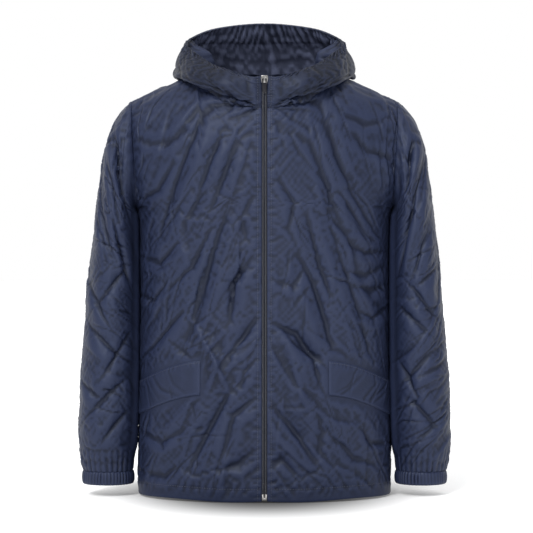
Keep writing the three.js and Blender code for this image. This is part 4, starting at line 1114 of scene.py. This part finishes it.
print("making the cloth")
words = ("left", "right")
based = [frontBase(word) for word in words] + [backBase()]
based += [sleeveBase(word) for word in words] + [hoodBase(word) for word in words]
settleTogether(based)
print("cloth settled")
dressed = [dressFront(piece, word) for piece, word in zip(based[:2], words)] + [dressBack(based[2])]
dressed += [dressSleeve(piece, word) for piece, word in zip(based[3:5], words)]
dressed += [dressHood(piece, word) for piece, word in zip(based[5:], words)]
dressed += [dressCuff(word) for word in words] + [dressFlap(word) for word in words]
for piece in dressed:
    form = (piece[key] for key in ("outer", "inner", "closed", "mirrored", "flat", "step"))
    piece["object"] = clothObject(piece["name"] + "_cloth", *form, **piece["tone"])
    print(piece["name"], len(piece["object"].data.vertices))


# A value in a node tree: arithmetic on it adds Math nodes, and node() adds any other node
class Wire:
    def __init__(self, tree, socket):
        self.tree = tree
        self.socket = socket

    def node(self, kind, settings=None, inputs=None, output=0):
        made = self.tree.nodes.new(kind)
        for name, value in (settings or {}).items():
            if name == "stops":
                for stop, (place, colour) in zip(made.color_ramp.elements, value):
                    stop.position = place
                    stop.color = colour
            else:
                setattr(made, name, value)
        for name, value in (inputs or {}).items():
            if isinstance(value, Wire):
                self.tree.links.new(value.socket, made.inputs[name])
            else:
                made.inputs[name].default_value = value
        return Wire(self.tree, made.outputs[output])

    def math(self, operation, first, second):
        return self.node("ShaderNodeMath", {"operation": operation}, {0: first, 1: second})

    def __add__(self, other):
        return self.math("ADD", self, other)

    def __sub__(self, other):
        return self.math("SUBTRACT", self, other)

    def __mul__(self, other):
        return self.math("MULTIPLY", self, other)

    def __rsub__(self, other):
        return self.math("SUBTRACT", other, self)

    __radd__ = __add__
    __rmul__ = __mul__


# A new material: its tree's first wire, its shader node, and a way to feed the shader
def startMaterial(name, constants):
    material = bpy.data.materials.new(name)
    material.use_nodes = True
    tree = material.node_tree
    shader = tree.nodes["Principled BSDF"]
    for socket, value in constants.items():
        shader.inputs[socket].default_value = value
    return material, Wire(tree, None), shader


def feed(wire, shader, socket, value):
    wire.tree.links.new(value.socket, shader.inputs[socket])


def blendColours(wire, factor, first, second):
    settings = {"data_type": "RGBA"}
    return wire.node("ShaderNodeMix", settings, {0: factor, 6: first, 7: second}, 2)


# Cloth colours: the crest colour, the darker colour that paints shade in hollows, and the reverse side's
# colours, a greyer reverse painted much paler as if lit
clothLook = {
    "crest": (0.0135, 0.0192, 0.0465, 1), "paintedShadeAndSeam": (0.0022, 0.0032, 0.0090, 1), "depth": 0.8,
    "litReverseCrest": (0.0980, 0.1130, 0.1850, 1), "litReverseShade": (0.0160, 0.0190, 0.0360, 1),
    "roughness": 0.56, "spread": 0.10, "specular": 0.29, "tint": (0.80, 0.87, 1.0, 1),
    "crinkle": 0.0035, "crinkleHeight": 0.00030, "crinkleStrength": 0.8,
    "weave": 0.00032, "weaveHeight": 0.00002, "weaveStrength": 0.35, "patches": 34.0,
}


# Thin coated taffeta: tiny crinkles and a plain weave in relief, with painted shade making it deeper in
# colour where it lies in a hollow, and a reverse side painted pale as if lit
def taffeta(name):
    look = clothLook
    material, wire, shader = startMaterial(name, {
        "Specular IOR Level": look["specular"], "Specular Tint": look["tint"],
    })
    flat = wire.node("ShaderNodeUVMap", {"uv_map": "flatCloth"})
    place = wire.node("ShaderNodeTexCoord", output="Object")
    patches = wire.node("ShaderNodeTexNoise", {"noise_dimensions": "3D"},
                        {"Vector": place, "Scale": look["patches"], "Detail": 4.0, "Roughness": 0.6})
    ridged = {"noise_dimensions": "3D", "noise_type": "RIDGED_MULTIFRACTAL"}
    crinkle = wire.node("ShaderNodeTexNoise", ridged, {
        "Vector": place, "Scale": 1 / (look["crinkle"] * 2), "Detail": 3.0, "Distortion": 0.6,
    })
    threads = []
    weave = {"Vector": flat, "Scale": 0.314 / look["weave"]}
    for direction in ("X", "Y"):
        bands = {"wave_type": "BANDS", "bands_direction": direction, "wave_profile": "SIN"}
        threads.append(wire.node("ShaderNodeTexWave", bands, weave, 1))
    reverse = wire.node("ShaderNodeAttribute", {"attribute_name": "reverseSide"}, output="Fac")
    paintedShadeAndSeam = wire.node("ShaderNodeAttribute", {"attribute_name": "paintedShadeAndSeam"}, output="Fac")
    # Painted shade: the base colour deepens with the painted-shade value in hollows, plus random patches of
    # tone
    depth = 0.32 + 0.5 * look["depth"] * paintedShadeAndSeam + 0.16 * (patches - 0.5)
    outerColour = blendColours(wire, depth, look["crest"], look["paintedShadeAndSeam"])
    # Painted light: the reverse side takes the pale lit colours, with painted shade in its hollows
    litReverseColour = blendColours(wire, depth, look["litReverseCrest"], look["litReverseShade"])
    feed(wire, shader, "Base Color", blendColours(wire, reverse, outerColour, litReverseColour))
    feed(wire, shader, "Roughness", look["roughness"] + look["spread"] * (patches - 0.5) + 0.08 * reverse)
    fine = wire.node("ShaderNodeBump", None, {
        "Strength": look["weaveStrength"], "Distance": look["weaveHeight"], "Height": threads[0] * threads[1],
    })
    feed(wire, shader, "Normal", wire.node("ShaderNodeBump", None, {
        "Strength": look["crinkleStrength"], "Distance": look["crinkleHeight"],
        "Height": crinkle, "Normal": fine,
    }))
    return material


# One plain colour with a fine grain: thread, tape, coil or metal
def plainFinish(name, colour, roughness, metallic=0.0, grain=900.0, grainHeight=0.00002, spread=0.1):
    material, wire, shader = startMaterial(name, {"Metallic": metallic})
    place = wire.node("ShaderNodeTexCoord", output="Object")
    grains = wire.node("ShaderNodeTexNoise", None, {"Vector": place, "Scale": grain, "Detail": 3.0})
    soft = wire.node("ShaderNodeTexNoise", None, {"Vector": place, "Scale": grain / 12, "Detail": 2.0})
    pale = tuple(c * 1.25 for c in colour) + (1,)
    feed(wire, shader, "Base Color", blendColours(wire, soft, tuple(colour) + (1,), pale))
    feed(wire, shader, "Roughness", roughness + spread * (soft - 0.5))
    bump = wire.node("ShaderNodeBump", None, {"Strength": 0.4, "Distance": grainHeight, "Height": grains})
    feed(wire, shader, "Normal", bump)
    return material


finishes = {
    "body": taffeta("navy taffeta"),
    "thread": plainFinish("navy thread", (0.030, 0.036, 0.060), 0.55, grain=2500.0),
    "tape": plainFinish("woven zip tape", (0.016, 0.018, 0.028), 0.62, grain=1600.0, grainHeight=0.00006),
    "coil": plainFinish("zip coil", (0.012, 0.014, 0.021), 0.34),
    "nickel": plainFinish("nickel", (0.22, 0.215, 0.21), 0.32, 1.0),
    "gunmetal": plainFinish("dark nickel", (0.018, 0.018, 0.021), 0.42, 1.0),
}


def paint(obj, material):
    obj.data.materials.clear()
    obj.data.materials.append(material)


# Geometry Nodes: one rounded bead after another along each path, its long side along or across the path
def beadTree(name, across):
    tree = bpy.data.node_groups.new(name, "GeometryNodeTree")
    face = tree.interface
    face.new_socket("Geometry", in_out="INPUT", socket_type="NodeSocketGeometry")
    for label in ("pitch", "length", "width", "height", "jitter"):
        face.new_socket(label, in_out="INPUT", socket_type="NodeSocketFloat")
    face.new_socket("seed", in_out="INPUT", socket_type="NodeSocketInt")
    face.new_socket("finish", in_out="INPUT", socket_type="NodeSocketMaterial")
    face.new_socket("Geometry", in_out="OUTPUT", socket_type="NodeSocketGeometry")
    entry = tree.nodes.new("NodeGroupInput")
    given = {socket.name: Wire(tree, socket) for socket in entry.outputs if socket.name}
    wire = given["Geometry"]
    curve = wire.node("GeometryNodeMeshToCurve", None, {"Mesh": wire})
    spaced = wire.node("GeometryNodeResampleCurve", {"mode": "LENGTH"},
                       {"Curve": curve, "Length": given["pitch"]})
    bead = wire.node("GeometryNodeMeshUVSphere", None, {"Segments": 8, "Rings": 5, "Radius": 0.5})
    tangent = wire.node("GeometryNodeInputTangent")
    up = wire.node("GeometryNodeInputNamedAttribute", {"data_type": "FLOAT_VECTOR"}, {"Name": "up"})
    alongPath = "Y" if across else "X"
    turned = wire.node("FunctionNodeAlignRotationToVector", {"axis": alongPath}, {"Vector": tangent})
    turned = wire.node("FunctionNodeAlignRotationToVector", {"axis": "Z", "pivot_axis": alongPath},
                       {"Rotation": turned, "Vector": up})
    vary = wire.node("FunctionNodeRandomValue", {"data_type": "FLOAT"},
                     {2: 1 - given["jitter"], 3: given["jitter"] + 1, "Seed": given["seed"]}, 1)
    size = wire.node("ShaderNodeCombineXYZ", None,
                     {"X": given["length"] * vary, "Y": given["width"], "Z": given["height"]})
    beads = wire.node("GeometryNodeInstanceOnPoints", None,
                      {"Points": spaced, "Instance": bead, "Rotation": turned, "Scale": size})
    solid = wire.node("GeometryNodeRealizeInstances", None, {"Geometry": beads})
    smoothed = wire.node("GeometryNodeSetShadeSmooth", None, {"Geometry": solid})
    painted = wire.node("GeometryNodeSetMaterial", None,
                        {"Geometry": smoothed, "Material": given["finish"]})
    leave = tree.nodes.new("NodeGroupOutput")
    tree.links.new(painted.socket, leave.inputs["Geometry"])
    return tree


# Runs a bead tree over paths, each a list of (points in mm, normals), and gives back one plain mesh object
def beadsAlong(name, tree, paths, values):
    points = np.concatenate([path[0] for path in paths]) * mm
    ups = np.concatenate([path[1] for path in paths])
    edges = []
    start = 0
    for path in paths:
        edges += [(start + i, start + i + 1) for i in range(len(path[0]) - 1)]
        start += len(path[0])
    mesh = bpy.data.meshes.new(name)
    mesh.from_pydata(points.tolist(), edges, [])
    mesh.attributes.new("up", "FLOAT_VECTOR", "POINT").data.foreach_set("vector", ups.ravel())
    source = bpy.data.objects.new(name, mesh)
    bpy.context.collection.objects.link(source)
    modifier = source.modifiers.new("beads", "NODES")
    modifier.node_group = tree
    for socket in tree.interface.items_tree:
        if socket.in_out == "INPUT" and socket.name in values:
            modifier[socket.identifier] = values[socket.name]
    graph = bpy.context.evaluated_depsgraph_get()
    done = bpy.data.meshes.new_from_object(source.evaluated_get(graph))
    bpy.data.objects.remove(source)
    obj = bpy.data.objects.new(name, done)
    bpy.context.collection.objects.link(obj)
    return obj


# A line of sewing on a dressed piece at flat places (p, q), lifted off the cloth
def lineOn(piece, p, q, lift=0.15):
    flatP, flatQ = piece["flat"]
    rows = np.interp(p, flatP[:, 0], np.arange(len(flatP)))
    columns = np.interp(q, flatQ[0], np.arange(flatQ.shape[1]))
    i, j = np.minimum(rows.astype(int), len(flatP) - 2), np.minimum(columns.astype(int), flatQ.shape[1] - 2)
    f, g = (rows - i)[:, None], (columns - j)[:, None]

    def between(values):
        near = lerp(values[i, j], values[i + 1, j], f)
        return lerp(near, lerp(values[i, j + 1], values[i + 1, j + 1], f), g)

    ups = between(piece["normals"])
    points = between(piece["outer"]) + lift * ups
    if piece["mirrored"]:
        points, ups = points * (-1, 1, 1), ups * (-1, 1, 1)
    return points, ups


stitch = {"pitch": 0.0031, "length": 0.0024, "width": 0.00055, "height": 0.00045, "jitter": 0.08, "seed": 3}
tooth = {"pitch": 0.0015, "length": 0.0026, "width": 0.00115, "height": 0.0011, "jitter": 0.02, "seed": 5}
byName = {piece["name"]: piece for piece in dressed}


def sewnLines():
    lines = []

    def down(piece, p, first=0.0, last=0.0):
        q = np.arange(first, piece["flat"][1].max() - last, 2.0)
        lines.append(lineOn(piece, np.full_like(q, p), q))

    def along(piece, q, first=0.0, last=0.0, bottom=True):
        p = np.arange(first, piece["flat"][0].max() - last, 2.0)
        height = q if bottom else piece["flat"][1].max() - q
        lines.append(lineOn(piece, p, np.full_like(p, height)))

    for word in words:
        down(byName["front_" + word], sewing["zipStitch"], 1, 1)
        along(byName["front_" + word], sewing["hemStitch"], 2)
        along(byName["pocket_flap_" + word], sewing["flapStitch"], 1, 1, bottom=False)
        along(byName["hood_" + word], sewing["casingStitch"], 5, 1, bottom=False)
        down(byName["hood_" + word], sewing["zipStitch"], 1, 1)
    along(byName["back"], sewing["hemStitch"])
    return lines


print("sewing")
stitchTree, toothTree = beadTree("stitches", False), beadTree("zip teeth", True)
stitching = beadsAlong("stitching", stitchTree, sewnLines(), {**stitch, "finish": finishes["thread"]})

# The zip: each tape is a strip behind the front's fold with the coil's spine at its edge, under the teeth.
# Its section: X, and how far its outer face lies behind the front's.
zipper = {
    "foot": -501.3, "top": -26.0, "step": 3.0, "tapeWall": 0.9, "tapeBehind": 2.3, "tapeWidth": 10.5,
    "upright": -89.6, "turnsUpright": (-62, -46), "toothMiddle": 1.55, "toothStep": 1.5, "toothProud": 0.1,
}
zipSection = np.array([
    (0.15, 1.5), (0.5, 0.75), (1.5, 0.55), (2.5, 0.75), (2.8, 1.5), (3.1, 2.3), (6.0, 2.3), (9.0, 2.3),
])


def zipTape(word):
    z = np.arange(zipper["foot"], zipper["top"] + 0.1, zipper["step"])
    z[-1] = zipper["top"]
    x, height = np.meshgrid(zipSection[:, 0], z, indexing="ij")
    y = bodyDepth(-1, np.full_like(x, jacket["zipEdge"]), np.minimum(height, -60))
    upright = lerp(y, zipper["upright"], smooth(*zipper["turnsUpright"], height))
    face = np.where(height > jacket["neckFront"], upright, y)
    outer = np.stack([x, face + zipSection[:, 1:2], height], -1)
    inner = np.stack([x, face + zipper["tapeBehind"] + zipper["tapeWall"], height], -1)
    return clothObject("zip_tape_" + word + "_woven", outer, inner, False, word == "right",
                       flatPlaces(outer, False)), outer


tapes = {word: zipTape(word) for word in words}
toothPaths = []
for word in words:
    z = np.arange(zipper["foot"] + 2, zipper["top"] - 1, zipper["toothStep"])
    spine = tapes[word][1][2]
    y = np.interp(z, spine[:, 2], spine[:, 1]) - zipper["toothProud"]
    side = 1 if word == "left" else -1
    x = np.full_like(z, side * zipper["toothMiddle"])
    points = np.stack([x, y, z + side * zipper["toothStep"] / 4], -1)
    toothPaths.append((points, np.tile((0.0, -1.0, 0.0), (len(z), 1))))
teeth = beadsAlong("zip_teeth", toothTree, toothPaths, {**tooth, "finish": finishes["coil"]})


metal = {"edge": 0.00018, "weld": 0.00001, "sharp": math.radians(40)}


# A metal piece of the zip: its own solid with softened edges
def metalPiece(node, finish):
    source = bpy.data.objects[node]
    obj = bpy.data.objects.new(node + "_metal", source.data.copy())
    bpy.context.collection.objects.link(obj)
    obj.matrix_world = source.matrix_world
    obj.data.transform(obj.matrix_world)
    obj.matrix_world = Matrix.Identity(4)
    weld = obj.modifiers.new("weld", "WELD")
    weld.merge_threshold = metal["weld"]
    bevel = obj.modifiers.new("edges", "BEVEL")
    bevel.width, bevel.segments, bevel.limit_method = metal["edge"], 2, "ANGLE"
    bevel.harden_normals = False
    graph = bpy.context.evaluated_depsgraph_get()
    mesh = bpy.data.meshes.new_from_object(obj.evaluated_get(graph))
    obj.modifiers.clear()
    obj.data = mesh
    mesh.set_sharp_from_angle(angle=metal["sharp"])
    paint(obj, finish)
    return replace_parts(obj, node)


slider = metalPiece("zip_slider", finishes["nickel"])
pull = metalPiece("zip_pull", finishes["gunmetal"])
retainer = metalPiece("zip_box", finishes["nickel"])

for piece in dressed:
    obj, name = piece["object"], piece["name"]
    paint(obj, finishes["body"])
    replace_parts(obj, name)
    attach(obj, "jacket")
    width, length, area = (size * unit for size, unit in zip(piece["cut"], (mm, mm, mm * mm)))
    print(name, "cut", round(width, 3), round(length, 3), round(area, 4))
for word in words:
    obj, outer = tapes[word]
    paint(obj, finishes["tape"])
    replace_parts(obj, "zip_tape_" + word)
    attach(obj, "jacket")
others = (
    (slider, "zip_metal", "jacket"), (retainer, "zip_metal", "jacket"), (pull, "pull_metal", "pull"),
    (teeth, "zip_tape", "jacket"), (stitching, "shell", "jacket"),
)
for obj, name, body in others:
    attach(obj, body)

# Camera at the photograph's angle, soft lights on both sides and a pale floor just under the hem
studio = {
    "cameraPlace": (0.0024, -2.2, -0.240), "pictureWidth": 0.6396, "world": 0.32,
    "floor": -0.5118, "floorSize": 60.0, "floorGlow": 0.35,
    "shadeWidth": 0.220, "shadeDepth": 0.29, "shadeFrom": 0.3,  # the shade's core is this share of its size
    "shadedFloor": (0.07, 0.07, 0.07, 1), "openFloor": (0.86, 0.86, 0.86, 1),
    "cardPlace": (0.05, -2.3, -0.34), "cardTilt": 0.14, "cardSize": 0.7, "cardPower": 9.0,
}
camera = bpy.data.objects.new("camera", bpy.data.cameras.new("camera"))
bpy.context.collection.objects.link(camera)
camera.location = studio["cameraPlace"]
camera.rotation_euler = (math.pi / 2, 0, 0)
camera.data.lens = 36 * -studio["cameraPlace"][1] / studio["pictureWidth"]
camera.data.clip_end = 100
bpy.context.scene.camera = camera
lights = (  # name, where it shines from, softness in degrees, power
    ("key", (-0.75, -1.7, 1.55), 18, 2.6), ("fill", (1.7, -1.6, 0.7), 60, 0.45),
    ("top", (0.1, -0.5, 2.2), 50, 1.1), ("behind left", (-1.6, 2.0, 1.0), 50, 0.7),
    ("behind right", (1.6, 2.0, 1.0), 50, 0.7),
)
for name, place, softness, power in lights:
    lamp = bpy.data.lights.new(name, "SUN")
    lamp.angle, lamp.energy = math.radians(softness), power
    light = bpy.data.objects.new(name, lamp)
    light.location = place
    light.rotation_euler = Vector(place).to_track_quat("Z", "Y").to_euler()
    bpy.context.collection.objects.link(light)
card = bpy.data.lights.new("card", "AREA")
card.shape, card.size, card.energy = "DISK", studio["cardSize"], studio["cardPower"]
cardLight = bpy.data.objects.new("card", card)
cardLight.location = studio["cardPlace"]
cardLight.rotation_euler = (math.pi / 2 + studio["cardTilt"], 0, 0)
bpy.context.collection.objects.link(cardLight)
floorMesh = bpy.data.meshes.new("floor")
far = studio["floorSize"] / 2
floorCorners = [(x, y, studio["floor"]) for x, y in ((-far, -far), (far, -far), (far, far), (-far, far))]
floorMesh.from_pydata(floorCorners, [], [(0, 1, 2, 3)])
floor = bpy.data.objects.new("floor", floorMesh)
bpy.context.collection.objects.link(floor)
# A painted shadow on the floor: its colour is darkest under the jacket, in a soft oval, and white further
# off, and the same colour also glows a little
material, wire, shader = startMaterial("floor", {"Roughness": 0.9, "Emission Strength": studio["floorGlow"]})
spot = wire.node("ShaderNodeTexCoord", output="Object")
ovalScale = (1 / studio["shadeWidth"], 1 / studio["shadeDepth"], 0)
oval = wire.node("ShaderNodeVectorMath", {"operation": "MULTIPLY"}, {0: spot, 1: ovalScale})
distance = wire.node("ShaderNodeVectorMath", {"operation": "LENGTH"}, {0: oval}, "Value")
away = wire.node("ShaderNodeMapRange", {"interpolation_type": "SMOOTHSTEP"},
                 {"Value": distance, "From Min": studio["shadeFrom"], "From Max": 1.0})
tone = blendColours(wire, away, studio["shadedFloor"], studio["openFloor"])
feed(wire, shader, "Base Color", tone)
feed(wire, shader, "Emission Color", tone)
paint(floor, material)
world = bpy.data.worlds.new("studio")
world.use_nodes = True
backdrop = Wire(world.node_tree, None)
seen = backdrop.node("ShaderNodeLightPath", output="Is Camera Ray")
world.node_tree.nodes["Background"].inputs["Color"].default_value = (1, 1, 1, 1)
brightness = studio["world"] + seen * (1 - studio["world"])
world.node_tree.links.new(brightness.socket, world.node_tree.nodes["Background"].inputs["Strength"])
bpy.context.scene.world = world
bpy.context.scene.view_settings.view_transform = "Standard"

print("finished")
